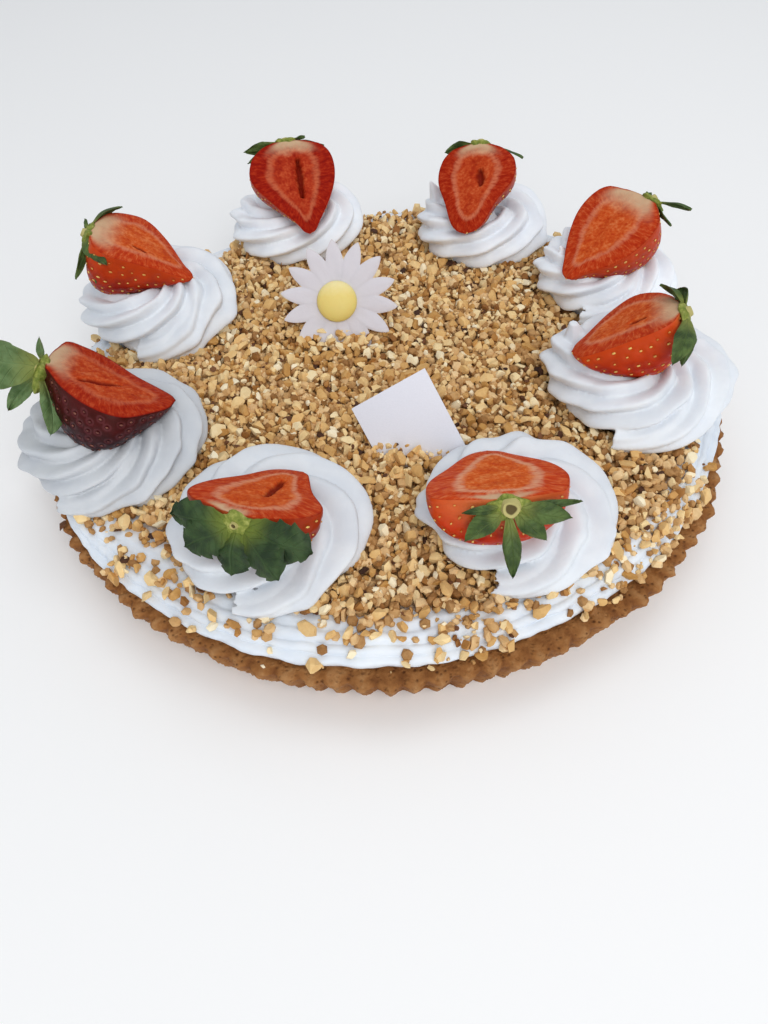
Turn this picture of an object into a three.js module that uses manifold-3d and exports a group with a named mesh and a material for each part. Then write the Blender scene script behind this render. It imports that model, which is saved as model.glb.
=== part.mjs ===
// Brazilian cream cake: a fluted shortcrust case filled with cream, a bed of crushed nuts on top,
// eight piped cream swirls that each carry half a strawberry, a wafer flower and a small card.
// Millimetres, +Z up. The origin is the middle of the underside, and the front is towards -Y.

import * as THREE from 'three';
import { ConvexGeometry } from 'three/addons/geometries/ConvexGeometry.js';
import { mergeVertices } from 'three/addons/utils/BufferGeometryUtils.js';
import Module from 'manifold-3d';

// Driving dimensions

const GAP = 0.3; // clearance kept between neighbours that touch

const CRUST = {
  footRadius: 120, // underside of the case
  rimRadius: 127, // outside of the rim, at mid flute
  height: 19,
  rimRound: 1.8, // height of the rounded rim edge
  insideFoot: 113, // radius of the hollow at its floor
  insideRim: 118, // radius of the hollow at the rim
  floor: 5,
  flutes: 104,
  fluteDepth: 1.8,
  unevenness: 0.5,
};

const CREAM = {
  steps: 64, // straight pieces round the edge
  // the edge above the rim, radius and height, with two combed ridges on the slope
  edge: [
    [121.5, 19.5],
    [123.2, 21.5],
    [121.6, 23.2],
    [121.4, 24.5],
    [118.4, 25.5],
    [117.8, 26.8],
    [114, 27.5],
  ],
  oval: 2.8, // how far the edge bulges outward along its long axis
  ovalAxis: 30, // degrees
  // where the cream hangs further over the rim or less far: side in degrees, reach, width in radians
  bulges: [
    { side: 4, reach: 3, width: 0.34 },
    { side: -128, reach: -2, width: 0.4 },
  ],
  top: 27.5,
};

const NUTS = {
  bedRadius: 112, // the closed bed of nuts ends here, looser nuts lie outside it
  pitch: 7, // spacing of the bumps in the bed
  bump: 3, // height of the tallest bump
  topCount: 30,
  slopeCount: 15,
  size: [5, 7.5],
  proportions: [0.5, 0.42, 0.36], // half extents of a loose nut, of its size
  corners: 8,
  spacing: 10,
  swirlMargin: 5, // loose nuts keep this far from the swirls
  flowerMargin: 28,
  cardMargin: 30,
  bedRaise: 1.6, // height of a loose nut's middle above the cream, on the bed
  slopeRaise: 0.6, // and on the slope
};

const SWIRL = {
  ridges: 8,
  columnsPerRidge: 3, // a crest and two points in the valley
  ridgeDepth: 0.16, // of the swirl's radius
  rope: 0.12, // how far the start of the rope sticks out, of the radius
  turn: 3.3, // radians that a ridge climbs through from the foot to the top
  // silhouette from the foot to the top: share of the radius, share of the height
  outline: [
    [0.9, 0],
    [1, 0.24],
    [0.92, 0.5],
    [0.68, 0.74],
    [0.36, 0.92],
    [0.1, 1],
  ],
};

// Each swirl's middle, radius and height, the side where its rope starts (degrees), and its berry.
// A berry has its tip, its leafy end, the way its cut face looks, its half-widths to the left and right,
// its depth behind the face as a share of its width, and its leaves. A leaf has its tip seen from the
// leafy end (sideways, outward, up from the cut face), its width, its arch and its twist (degrees).
const SERVINGS = [
  {
    swirl: { x: -35, y: 100, radius: 30, height: 20, start: -98 },
    berry: {
      tip: [-28, 68, 46], end: [-37, 109, 66],
      face: [0.16, -0.39, 0.91],
      left: 19, right: 18, depth: 0.43,
    },
    leaves: [
      [-19, -2, -2, 6, 0, 30],
      [-18, -5, -5, 5, 0.1, 20],
      [9, 3, -1, 4, 0.1, 20],
      [17, -1, -3, 3, 0.1, 0],
    ],
  },
  {
    swirl: { x: 47, y: 89, radius: 29, height: 21, start: -100 },
    berry: {
      tip: [37, 62, 46], end: [45.5, 97.5, 66],
      face: [-0.29, -0.41, 0.86],
      left: 15.5, right: 17, depth: 0.45,
    },
    leaves: [[-15, -2, -1, 6, 0.1, 30], [19, -5, -3.5, 6.5, 0.15, 20], [-4, 4, -3, 4, 0.2, 0]],
  },
  {
    swirl: { x: 93, y: 44, radius: 28, height: 21, start: -122 },
    berry: {
      tip: [72.5, 28, 45], end: [105, 48, 65],
      face: [-0.42, -0.19, 0.89],
      left: 22, right: 14, depth: 0.56,
    },
    leaves: [[15, 6.5, -4, 3.5, 0.1, 0], [14, -3, -4, 3.5, 0.05, 0], [-6, 5, -5, 5, 0.2, 0]],
  },
  {
    swirl: { x: 91, y: -19, radius: 33, height: 21, start: -118 },
    berry: {
      tip: [65, -19, 48], end: [95, -25, 68],
      face: [-0.5, 0.26, 0.82],
      left: 21, right: 9.5, depth: 0.62,
    },
    leaves: [
      [-12, -4, 5, 6, 0.3, 0],
      [26, -4, -3.5, 7, 0.2, 60],
      [20, -2.5, -9, 5, 0.15, 60],
      [-10, 0.5, 2, 6, 0.2, 60],
    ],
  },
  {
    swirl: { x: 39, y: -75, radius: 31, height: 15, start: -112 },
    berry: {
      tip: [31.5, -57, 40.5], end: [31.5, -92.5, 59],
      face: [-0.02, 0.47, 0.88],
      left: 20, right: 22, depth: 0.45,
    },
    leaves: [
      [-20, 1, -2, 3, 0.15, 0],
      [-17, 4, -5.5, 7, 0.2, 0],
      [-10, 4, -12, 6, 0.2, 0],
      [0, 6, -22, 5.5, 0.2, 0],
      [12.5, 2, -11.5, 7, 0.2, 0],
      [13, 2, -3, 3, 0.15, 0],
    ],
  },
  {
    swirl: { x: -39, y: -76, radius: 32, height: 14, start: -108 },
    berry: {
      tip: [-27.5, -64, 42.5], end: [-42, -94, 59.5],
      face: [0.15, 0.43, 0.89],
      left: 18, right: 21, depth: 0.45,
    },
    leaves: [
      [20, 3, -3.5, 11, 0.2, 0],
      [14, 6, -11, 14, 0.2, 0],
      [-2, 6, -15.5, 13, 0.2, 0],
      [-16, 6, -13, 14, 0.2, 0],
      [-24, 3, -4, 14, 0.2, 0],
    ],
  },
  {
    swirl: { x: -96, y: -35, radius: 32, height: 17, start: -115 },
    berry: {
      tip: [-71.5, -30.5, 45], end: [-109, -29.5, 62.5],
      face: [0.41, 0.26, 0.87],
      left: 20, right: 19, depth: 0.58,
    },
    leaves: [
      [-12, 21, 0.5, 17, 0.1, 0],
      [9, 5, 4, 2.5, 0.1, 80],
      [2, 14, -15, 6, 0.1, 0],
      [0, 9.5, -21, 6, 0.1, 90],
      [-18, -7, -15, 9, -0.25, 60],
    ],
  },
  {
    swirl: { x: -90, y: 41, radius: 31.5, height: 22, start: -100 },
    berry: {
      tip: [-73, 37.5, 47.5], end: [-106, 39, 69],
      face: [0.55, 0.05, 0.84],
      left: 12, right: 24, depth: 0.6,
    },
    leaves: [
      [22, -6, 2, 5, 0.2, 0],
      [5, 4, 0, 3, 0.2, 0],
      [-15, -9, -2, 6.5, 0.3, -50],
      [-12, -7.5, -13, 4.5, 0, 40],
      [-13.5, -0.5, -14, 4, 0, 40],
    ],
  },
];

const BERRY = {
  arcSteps: 7,
  // silhouette of the cut face from the tip: share of the length, share of half the width
  outline: [
    [0, 0.12],
    [0.09, 0.36],
    [0.35, 0.76],
    [0.62, 1],
    [0.82, 0.94],
    [0.95, 0.66],
    [1, 0.34],
  ],
};

const LEAF = {
  thickness: 0.8,
  fold: 0.12, // how far its sides stand above its midrib, of the width
  rootShare: 0.12, // of the way from the hub's middle to the tip
  rootDrop: 1.5, // how far the roots lie below the cut face and outside the berry
  hubRadius: 4.5,
  hubShape: [1, 0.6, 0.7],
  hubDrop: 2.5,
  // share of the way to the tip, share of the width
  outline: [
    [0, 0.35],
    [0.5, 1],
    [1, 0.08],
  ],
};

const FLOWER = {
  place: [-16.1, 29, 40],
  foot: [-17, 15], // where the lowest petals stand in the nuts
  lean: 48, // degrees from lying flat
  spin: -4, // degrees that the first petal stands beside the top
  radius: 23.2,
  valley: 15.6, // radius of the notches between the petals
  petals: 14,
  thickness: 0.9,
  heartRadius: 7.8,
  heartHeight: 3.5,
  heartShift: [-0.9, -0.6, 0],
};

const CARD = {
  corner: [-12.1, -33.1, 39.5], // the left corner
  along: [25.5, 5.1, 12], // to the top corner
  down: [13.8, -21.5, -22.5], // to the foot, square to the side above
  thickness: 0.5,
};

// Colours and finish

const MATERIALS = {
  crust: new THREE.MeshStandardMaterial({ color: '#b87a3c', roughness: 0.8, metalness: 0 }),
  cream: new THREE.MeshStandardMaterial({ color: '#d9b27a', roughness: 0.7, metalness: 0 }),
  swirl: new THREE.MeshStandardMaterial({ color: '#f3f2f0', roughness: 0.5, metalness: 0 }),
  berry: new THREE.MeshStandardMaterial({ color: '#cc3a1c', roughness: 0.3, metalness: 0 }),
  leaves: new THREE.MeshStandardMaterial({ color: '#4c7a3c', roughness: 0.6, metalness: 0 }),
  petals: new THREE.MeshStandardMaterial({ color: '#e4e2ea', roughness: 0.8, metalness: 0 }),
  heart: new THREE.MeshStandardMaterial({ color: '#f0d565', roughness: 0.7, metalness: 0 }),
  card: new THREE.MeshStandardMaterial({ color: '#f1f0f6', roughness: 0.6, metalness: 0 }),
};

// Helpers

const wasm = await Module();
wasm.setup();

const vector = (values) => new THREE.Vector3(...values);

// A repeatable random draw between 0 and 1.
function randomSource(seed) {
  let state = seed;
  return () => {
    state = (state * 1664525 + 1013904223) % 4294967296;
    return state / 4294967296;
  };
}

// A geometry from points and triangles, turned inside out if its faces point inward.
function closedGeometry(points, triangles) {
  let volume = 0;
  for (const [a, b, c] of triangles) {
    volume += points[a].dot(new THREE.Vector3().crossVectors(points[b], points[c]));
  }
  const faces = volume < 0 ? triangles.map(([a, b, c]) => [a, c, b]) : triangles;
  const geometry = new THREE.BufferGeometry().setFromPoints(points);
  geometry.setIndex(faces.flat());
  return geometry;
}

// A closed solid through loops of points that all have the same count.
function loft(loops) {
  const count = loops[0].length;
  const points = loops.flat();
  const triangles = [];
  for (let row = 0; row < loops.length - 1; row++) {
    for (let k = 0; k < count; k++) {
      const next = (k + 1) % count;
      const [a, b] = [row * count + k, row * count + next];
      const [c, d] = [a + count, b + count];
      triangles.push([a, b, d], [a, d, c]);
    }
  }
  const last = (loops.length - 1) * count;
  for (let k = 1; k < count - 1; k++) {
    triangles.push([0, k + 1, k], [last, last + k, last + k + 1]);
  }
  return closedGeometry(points, triangles);
}

// A closed solid of rings round Z whose counts may differ, each starting near angle zero.
function ringStack(rings, startHeight, endHeight) {
  const points = [new THREE.Vector3(0, 0, startHeight)];
  const firsts = rings.map((ring) => points.push(...ring) - ring.length);
  const end = points.push(new THREE.Vector3(0, 0, endHeight)) - 1;
  const triangles = [];
  const angle = (ring, k) => {
    const point = ring[k % ring.length];
    const turned = Math.atan2(point.y, point.x);
    const pastHalf = turned < -1e-6 ? 2 * Math.PI : 0;
    const wrapped = k < ring.length ? 0 : 2 * Math.PI;
    return turned + pastHalf + wrapped;
  };
  for (let r = 0; r < rings.length - 1; r++) {
    const [low, high] = [rings[r], rings[r + 1]];
    let [i, j] = [0, 0];
    while (i < low.length || j < high.length) {
      const a = firsts[r] + (i % low.length);
      const b = firsts[r + 1] + (j % high.length);
      const lowIsNext = j >= high.length || (i < low.length && angle(low, i + 1) < angle(high, j + 1));
      if (lowIsNext) {
        triangles.push([a, firsts[r] + ((i + 1) % low.length), b]);
        i += 1;
      } else {
        triangles.push([a, firsts[r + 1] + ((j + 1) % high.length), b]);
        j += 1;
      }
    }
  }
  const [first, final] = [rings[0], rings.at(-1)];
  for (let k = 0; k < first.length; k++) {
    triangles.push([0, firsts[0] + ((k + 1) % first.length), firsts[0] + k]);
  }
  for (let k = 0; k < final.length; k++) {
    triangles.push([end, firsts.at(-1) + k, firsts.at(-1) + ((k + 1) % final.length)]);
  }
  return closedGeometry(points, triangles);
}

// A round body from a profile of radius and height that starts and ends on the axis.
function lathe(profile, steps) {
  const outline = profile.map(([radius, height]) => new THREE.Vector2(radius, height));
  return new THREE.LatheGeometry(outline, steps).rotateX(Math.PI / 2);
}

function solidOf(geometry) {
  const bare = geometry.clone();
  bare.deleteAttribute('normal');
  bare.deleteAttribute('uv');
  const merged = mergeVertices(bare, 1e-3);
  const faces = [];
  for (let k = 0; k < merged.index.count; k += 3) {
    const [a, b, c] = [0, 1, 2].map((corner) => merged.index.getX(k + corner));
    if (a !== b && b !== c && c !== a) faces.push(a, b, c);
  }
  const vertProperties = new Float32Array(merged.attributes.position.array);
  return new wasm.Manifold(new wasm.Mesh({ numProp: 3, vertProperties, triVerts: new Uint32Array(faces) }));
}

// The largest body of a solid as a geometry, without the loose scraps that a cut leaves.
function geometryOf(solid) {
  const bodies = solid.decompose().sort((a, b) => b.volume() - a.volume());
  const mesh = bodies[0].getMesh();
  const geometry = new THREE.BufferGeometry();
  geometry.setAttribute('position', new THREE.BufferAttribute(mesh.vertProperties, 3));
  geometry.setIndex(new THREE.BufferAttribute(mesh.triVerts, 1));
  return geometry;
}

const cake = new THREE.Group();

function addPiece(name, geometry, material, placement = new THREE.Matrix4()) {
  const piece = new THREE.Mesh(geometry, material);
  piece.name = name;
  piece.applyMatrix4(placement);
  cake.add(piece);
}

// Crust: a fluted case, uneven as baked pastry is

function crustGeometry() {
  const { footRadius, rimRadius, height, rimRound, floor } = CRUST;
  const block = lathe(
    [[0, 0], [footRadius, 0], [rimRadius, height - rimRound], [rimRadius - rimRound, height], [0, height]],
    2 * CRUST.flutes,
  );
  const position = block.attributes.position;
  for (let k = 0; k < position.count; k++) {
    const point = new THREE.Vector3().fromBufferAttribute(position, k);
    const radius = Math.hypot(point.x, point.y);
    if (radius < footRadius - 1) continue;
    const angle = Math.atan2(point.y, point.x);
    const flute = (CRUST.fluteDepth / 2) * Math.cos(CRUST.flutes * angle);
    const uneven = CRUST.unevenness * (Math.sin(7 * angle + 1) + Math.sin(19 * angle)) * (point.z / height);
    const scale = (radius + flute + uneven) / radius;
    position.setXY(k, point.x * scale, point.y * scale);
  }
  const reach = height + 5;
  const slope = (CRUST.insideRim - CRUST.insideFoot) / (height - floor);
  const hollow = lathe(
    [[0, floor], [CRUST.insideFoot, floor], [CRUST.insideFoot + slope * (reach - floor), reach], [0, reach]],
    CREAM.steps,
  );
  return geometryOf(solidOf(block).subtract(solidOf(hollow)));
}

// Cream: it fills the case, spreads over the rim and carries the bed of nuts

const nutRandom = randomSource(20);

const swirlCovers = (x, y, margin) =>
  SERVINGS.some(({ swirl }) => Math.hypot(x - swirl.x, y - swirl.y) < swirl.radius + margin);

function ring(radius, height, count) {
  return Array.from({ length: count }, (_, k) => {
    const angle = (2 * Math.PI * k) / count;
    return new THREE.Vector3(radius * Math.cos(angle), radius * Math.sin(angle), height);
  });
}

// A ring of the cream's edge, which isn't quite round.
function edgeRing(radius, height) {
  const axis = THREE.MathUtils.degToRad(CREAM.ovalAxis);
  return ring(radius, height, CREAM.steps).map((point) => {
    const angle = Math.atan2(point.y, point.x);
    let reach = radius + CREAM.oval * Math.cos(2 * (angle - axis));
    for (const bulge of CREAM.bulges) {
      const away = 2 * Math.sin((angle - THREE.MathUtils.degToRad(bulge.side)) / 2);
      reach += bulge.reach * Math.exp(-((away / bulge.width) ** 2));
    }
    return new THREE.Vector3(reach * Math.cos(angle), reach * Math.sin(angle), height);
  });
}

// One ring of the nut bed: points shifted and raised at random, but flat below the swirls.
function bedRing(radius) {
  const count = Math.max(6, Math.round((2 * Math.PI * radius) / NUTS.pitch));
  const points = ring(radius, CREAM.top, count);
  points.forEach((point, k) => {
    const shift = 0.25 * NUTS.pitch * (nutRandom() - 0.5);
    const lift = NUTS.bump * nutRandom() ** 1.3;
    if (swirlCovers(point.x, point.y, NUTS.pitch)) return;
    if (k > 0) point.applyAxisAngle(new THREE.Vector3(0, 0, 1), shift / radius);
    point.multiplyScalar((radius + shift) / radius);
    point.z = CREAM.top + lift;
  });
  return points;
}

function creamGeometry() {
  const { steps, edge, top } = CREAM;
  const rings = [
    ring(CRUST.insideFoot - GAP, CRUST.floor + GAP, steps),
    ring(CRUST.insideRim - GAP, CRUST.height, steps),
    ...edge.map(([radius, height]) => edgeRing(radius, height)),
  ];
  for (let radius = NUTS.bedRadius - NUTS.pitch / 2; radius > NUTS.pitch / 2; radius -= NUTS.pitch) {
    rings.push(bedRing(radius));
  }
  return ringStack(rings, CRUST.floor + GAP, top + 1);
}

// Height of the cream at a distance from the middle.
function creamHeight(radius) {
  const { edge, top } = CREAM;
  const outer = edge.findIndex(([edgeRadius]) => edgeRadius < radius);
  if (outer < 0) return top;
  const [farRadius, farHeight] = edge[Math.max(outer - 1, 0)];
  const [nearRadius, nearHeight] = edge[outer];
  return THREE.MathUtils.mapLinear(radius, nearRadius, farRadius, nearHeight, farHeight);
}

function nutGeometry(size) {
  const direction = () => vector([nutRandom() - 0.5, nutRandom() - 0.5, nutRandom() - 0.5]).normalize();
  const corners = Array.from({ length: NUTS.corners }, () =>
    direction().multiply(vector(NUTS.proportions)).multiplyScalar(size),
  );
  return new ConvexGeometry(corners);
}

// Places for loose nuts between two distances from the middle, clear of each other and of the toppings.
function nutPlaces(count, innerRadius, outerRadius) {
  const places = [];
  const [flowerX, flowerY] = FLOWER.foot;
  const card = vector(CARD.corner).addScaledVector(vector(CARD.along).add(vector(CARD.down)), 0.5);
  for (let tries = 0; places.length < count && tries < 4000; tries++) {
    const radius = Math.sqrt(THREE.MathUtils.lerp(innerRadius ** 2, outerRadius ** 2, nutRandom()));
    const angle = 2 * Math.PI * nutRandom();
    const place = new THREE.Vector3(radius * Math.cos(angle), radius * Math.sin(angle), creamHeight(radius));
    const crowded = places.some((other) => other.distanceTo(place) < NUTS.spacing);
    const blocked =
      swirlCovers(place.x, place.y, NUTS.swirlMargin) ||
      Math.hypot(place.x - flowerX, place.y - flowerY) < NUTS.flowerMargin ||
      Math.hypot(place.x - card.x, place.y - card.y) < NUTS.cardMargin;
    if (!crowded && !blocked) places.push(place);
  }
  return places;
}

function creamSolid() {
  const onTop = nutPlaces(NUTS.topCount, 0, NUTS.bedRadius - 4);
  const onSlope = nutPlaces(NUTS.slopeCount, NUTS.bedRadius, CREAM.edge[1][0] - 3);
  const nuts = [...onTop, ...onSlope].map((place) => {
    const size = THREE.MathUtils.lerp(...NUTS.size, nutRandom());
    const inBed = Math.hypot(place.x, place.y) < NUTS.bedRadius;
    const raised = place.z + (inBed ? NUTS.bedRaise : NUTS.slopeRaise);
    return solidOf(nutGeometry(size)).translate(place.x, place.y, raised);
  });
  return nuts.reduce((whole, nut) => whole.add(nut), solidOf(creamGeometry()));
}

// Swirls: domes of cream whose star ridges climb round to the top

function swirlSolid({ x, y, radius, height, start }, grown = 0) {
  const { ridges, columnsPerRidge, ridgeDepth, rope, turn, outline } = SWIRL;
  const columns = ridges * columnsPerRidge;
  const first = THREE.MathUtils.degToRad(start);
  const loops = outline.map(([radiusShare, heightShare]) =>
    Array.from({ length: columns }, (_, k) => {
      const angle = first + (2 * Math.PI * k) / columns + turn * heightShare;
      const sunk = k % columnsPerRidge === 0 ? 0 : ridgeDepth;
      const tail = k === 0 ? rope * (1 - heightShare) : 0;
      const reach = radius * radiusShare * (1 - sunk + tail) + grown;
      return new THREE.Vector3(reach * Math.cos(angle), reach * Math.sin(angle), height * heightShare);
    }),
  );
  return solidOf(loft(loops)).translate(x, y, CREAM.top + GAP);
}

// Berries: half strawberries, flat on the cut face; local X is sideways, Y outward, Z up from the face

function berryFrame({ tip, end, face }) {
  const outward = vector(end).sub(vector(tip));
  const length = outward.length();
  outward.normalize();
  const up = vector(face).projectOnPlane(outward).normalize();
  const sideways = new THREE.Vector3().crossVectors(outward, up);
  const placement = new THREE.Matrix4().makeBasis(sideways, outward, up).setPosition(vector(end));
  return { length, placement };
}

function berryGeometry(length, { left, right, depth }, grown = 0) {
  const { outline, arcSteps } = BERRY;
  const loops = outline.map(([lengthShare, widthShare], row) => {
    const atEnd = row === 0 ? -grown : row === outline.length - 1 ? grown : 0;
    const along = (lengthShare - 1) * length + atEnd;
    const middle = ((right - left) / 2) * widthShare;
    const half = ((left + right) / 2) * widthShare + grown;
    const back = (left + right) * depth * widthShare + 2 * grown;
    return Array.from({ length: arcSteps + 1 }, (_, k) => {
      const angle = (Math.PI * k) / arcSteps;
      return new THREE.Vector3(middle + half * Math.cos(angle), along, grown - back * Math.sin(angle));
    });
  });
  return loft(loops);
}

// Leaves: thin arched blades that meet in a small hub on the berry's end

function leafGeometry([sideways, outward, up, width, arch, twist], grown = 0) {
  const tip = new THREE.Vector3(sideways, outward, up);
  const { rootShare, rootDrop } = LEAF;
  const root = new THREE.Vector3(rootShare * sideways, rootDrop, rootShare * up - rootDrop);
  const ahead = tip.clone().sub(root);
  const flat = new THREE.Vector3(up, 0, -sideways).normalize();
  const turned = THREE.MathUtils.degToRad(twist);
  const across = flat.applyAxisAngle(ahead.clone().normalize(), turned).normalize();
  const bow = root.clone().lerp(tip, 0.5).add(new THREE.Vector3(0, arch * ahead.length(), 0));
  const spine = new THREE.QuadraticBezierCurve3(root, bow, tip);
  const loops = LEAF.outline.map(([share, widthShare]) => {
    const middle = spine.getPoint(share);
    const normal = new THREE.Vector3().crossVectors(across, spine.getTangent(share)).normalize();
    const half = (width * widthShare) / 2 + grown;
    const thick = LEAF.thickness / 2 + grown;
    const fold = LEAF.fold * width * widthShare;
    const offsets = [[-half, fold + thick], [0, thick], [half, fold + thick]];
    const under = [[half, fold - thick], [0, -thick], [-half, fold - thick]];
    return [...offsets, ...under].map(([side, rise]) =>
      middle.clone().addScaledVector(across, side).addScaledVector(normal, rise),
    );
  });
  return loft(loops);
}

function leavesSolid(leaves, grown = 0) {
  const hub = new THREE.SphereGeometry(LEAF.hubRadius + grown, 7, 4);
  hub.scale(...LEAF.hubShape).translate(0, 1, -LEAF.hubDrop);
  return leaves.reduce((whole, leaf) => whole.add(solidOf(leafGeometry(leaf, grown))), solidOf(hub));
}

// Flower: a flat star of pointed petals with a domed heart; local Z is its face

const flowerFrame = new THREE.Matrix4()
  .makeRotationX(THREE.MathUtils.degToRad(FLOWER.lean))
  .setPosition(vector(FLOWER.place));
const petalShape = { across: [0, 0.25, 0.5, 0.75], reach: [1, 0.6, 0, 0.6] };

function petalsGeometry(grown = 0) {
  const { radius, valley, petals, thickness } = FLOWER;
  const outline = Array.from({ length: 4 * petals }, (_, k) => {
    const turned = THREE.MathUtils.degToRad(FLOWER.spin);
    const angle = (2 * Math.PI * (Math.floor(k / 4) + petalShape.across[k % 4])) / petals + turned;
    const reach = valley + (radius - valley) * petalShape.reach[k % 4] + grown;
    return new THREE.Vector2(reach * Math.sin(angle), reach * Math.cos(angle));
  });
  const depth = thickness + 2 * grown;
  const settings = { depth, bevelEnabled: false };
  return new THREE.ExtrudeGeometry(new THREE.Shape(outline), settings).translate(0, 0, -depth / 2);
}

// A disc that clears the petals, for the slot they stand in.
function flowerSlot() {
  const { radius, thickness } = FLOWER;
  const disc = new THREE.CylinderGeometry(radius + GAP, radius + GAP, thickness + 2 * GAP, 48);
  return solidOf(disc.rotateX(Math.PI / 2).applyMatrix4(flowerFrame));
}

function heartGeometry() {
  const { heartRadius, heartHeight, thickness } = FLOWER;
  const base = thickness / 2 + GAP;
  const dome = [0, 0.25, 0.5, 0.75, 1].map((share) => [
    heartRadius * Math.cos((share * Math.PI) / 2),
    base + heartHeight * (0.25 + 0.75 * Math.sin((share * Math.PI) / 2)),
  ]);
  return lathe([[0, base], [heartRadius, base], ...dome], 16).translate(...FLOWER.heartShift);
}

// Card: a thin square that leans in the nuts

function cardFrame() {
  const along = vector(CARD.along);
  const down = vector(CARD.down).projectOnPlane(along.clone().normalize());
  const size = [along.length(), down.length()];
  const middle = vector(CARD.corner).addScaledVector(along, 0.5).addScaledVector(down, 0.5);
  const normal = new THREE.Vector3().crossVectors(down, along).normalize();
  const placement = new THREE.Matrix4()
    .makeBasis(along.normalize(), down.normalize().negate(), normal)
    .setPosition(middle);
  return { size, placement };
}

function cardGeometry(size, grown = 0) {
  return new THREE.BoxGeometry(size[0] + 2 * grown, size[1] + 2 * grown, CARD.thickness + 2 * grown);
}

// Assembly

addPiece('crust', crustGeometry(), MATERIALS.crust);

const card = cardFrame();
const slots = [flowerSlot(), solidOf(cardGeometry(card.size, GAP).applyMatrix4(card.placement))];
const creamWithSlots = slots.reduce((whole, slot) => whole.subtract(slot), creamSolid());
addPiece('cream_layer', geometryOf(creamWithSlots), MATERIALS.cream);

const servings = SERVINGS.map(({ swirl, berry, leaves }) => {
  const { length, placement } = berryFrame(berry);
  const grownBerry = solidOf(berryGeometry(length, berry, GAP));
  return {
    placement,
    swirl: swirlSolid(swirl),
    berry: berryGeometry(length, berry),
    leaves: leavesSolid(leaves).subtract(grownBerry),
    swirlClearance: swirlSolid(swirl, GAP),
    toppingClearance: grownBerry.add(leavesSolid(leaves, GAP)).transform(placement.elements),
  };
});

servings.forEach(({ placement, swirl, berry, leaves }, index) => {
  const number = index + 1;
  const clearances = [
    ...slots,
    creamWithSlots.translate(0, 0, GAP),
    ...servings.map((serving) => serving.toppingClearance),
    ...servings.slice(index + 1).map((serving) => serving.swirlClearance),
  ];
  const cut = clearances.reduce((whole, cutter) => whole.subtract(cutter), swirl);
  addPiece(`swirl_${number}`, geometryOf(cut), MATERIALS.swirl);
  addPiece(`strawberry_${number}`, berry, MATERIALS.berry, placement);
  addPiece(`leaves_${number}`, geometryOf(leaves), MATERIALS.leaves, placement);
});

addPiece('flower_petals', petalsGeometry(), MATERIALS.petals, flowerFrame);
addPiece('flower_heart', heartGeometry(), MATERIALS.heart, flowerFrame);
addPiece('card', cardGeometry(card.size), MATERIALS.card, card.placement);

export default cake;
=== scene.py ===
# Looks of a round cream cake: a fluted shortcrust case, combed cream under chopped nuts,
# eight piped rosettes with half strawberries, a wafer daisy and a small card.
import math
from bisect import bisect

import bmesh
import bpy
import numpy as np
from mathutils import Matrix, Vector, kdtree, noise


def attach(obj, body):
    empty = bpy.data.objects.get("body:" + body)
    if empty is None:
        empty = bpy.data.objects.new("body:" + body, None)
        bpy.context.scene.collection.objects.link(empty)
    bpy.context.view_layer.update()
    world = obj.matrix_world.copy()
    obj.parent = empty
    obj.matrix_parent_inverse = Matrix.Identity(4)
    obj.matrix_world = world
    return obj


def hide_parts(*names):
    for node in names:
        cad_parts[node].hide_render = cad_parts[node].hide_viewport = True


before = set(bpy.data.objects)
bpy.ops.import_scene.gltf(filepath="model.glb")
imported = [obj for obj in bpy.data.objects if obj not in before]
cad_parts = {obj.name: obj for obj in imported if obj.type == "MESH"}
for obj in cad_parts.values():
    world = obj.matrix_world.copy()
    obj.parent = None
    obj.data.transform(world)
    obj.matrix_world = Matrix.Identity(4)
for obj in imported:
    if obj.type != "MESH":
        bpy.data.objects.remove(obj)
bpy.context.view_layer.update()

MM = 0.001  # every size below is in millimetres, and pieces are scaled when they are finished
TURN = 2 * math.pi

# Helpers for shapes


def mix(a, b, share):
    return a + (b - a) * share


def clamp(value, low=0.0, high=1.0):
    return max(low, min(high, value))


def smoothstep(low, high, value):
    share = clamp((value - low) / (high - low))
    return share * share * (3 - 2 * share)


def bell(value, width):
    return math.exp(-((value / width) ** 2))


def near_side(angle, degrees, width):
    """1 where the angle is at that side of a round thing, and 0 away from it."""
    return bell(2 * math.sin((angle - math.radians(degrees)) / 2), width)


def wobble(seed, *place):
    """Smooth noise between about -1 and 1, different for each seed."""
    x, y, z = (*place, 0.0, 0.0)[:3]
    return noise.noise(Vector((x + 17.3 * seed, y - 9.1 * seed, z + 5.7 * seed)))


def curve_through(points, share):
    """A smooth curve through evenly spaced points, at a share of its length."""
    spans = len(points) - 1
    k = min(int(share * spans), spans - 1)
    t = share * spans - k
    a, b, c, d = (np.array(points[clamp(k + step, 0, spans)], float) for step in (-1, 0, 1, 2))
    bend = 2 * a - 5 * b + 4 * c - d
    twist = 3 * b - a - 3 * c + d
    return 0.5 * (2 * b + (c - a) * t + bend * t ** 2 + twist * t ** 3)


def profile_at(points, share):
    """A smooth value between listed (share, value) pairs."""
    shares = [p[0] for p in points]
    k = clamp(bisect(shares, share) - 1, 0, len(points) - 2)
    (s0, v0), (s1, v1) = points[k], points[k + 1]
    before = points[k - 1] if k else (2 * s0 - s1, v0)
    after = points[k + 2] if k + 2 < len(points) else (2 * s1 - s0, v1)
    t = clamp((share - s0) / (s1 - s0))
    m0 = (v1 - before[1]) / (s1 - before[0]) * (s1 - s0)
    m1 = (after[1] - v0) / (after[0] - s0) * (s1 - s0)
    return (
        (2 * t ** 3 - 3 * t ** 2 + 1) * v0 + (t ** 3 - 2 * t ** 2 + t) * m0
        + (3 * t ** 2 - 2 * t ** 3) * v1 + (t ** 3 - t ** 2) * m1
    )


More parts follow.
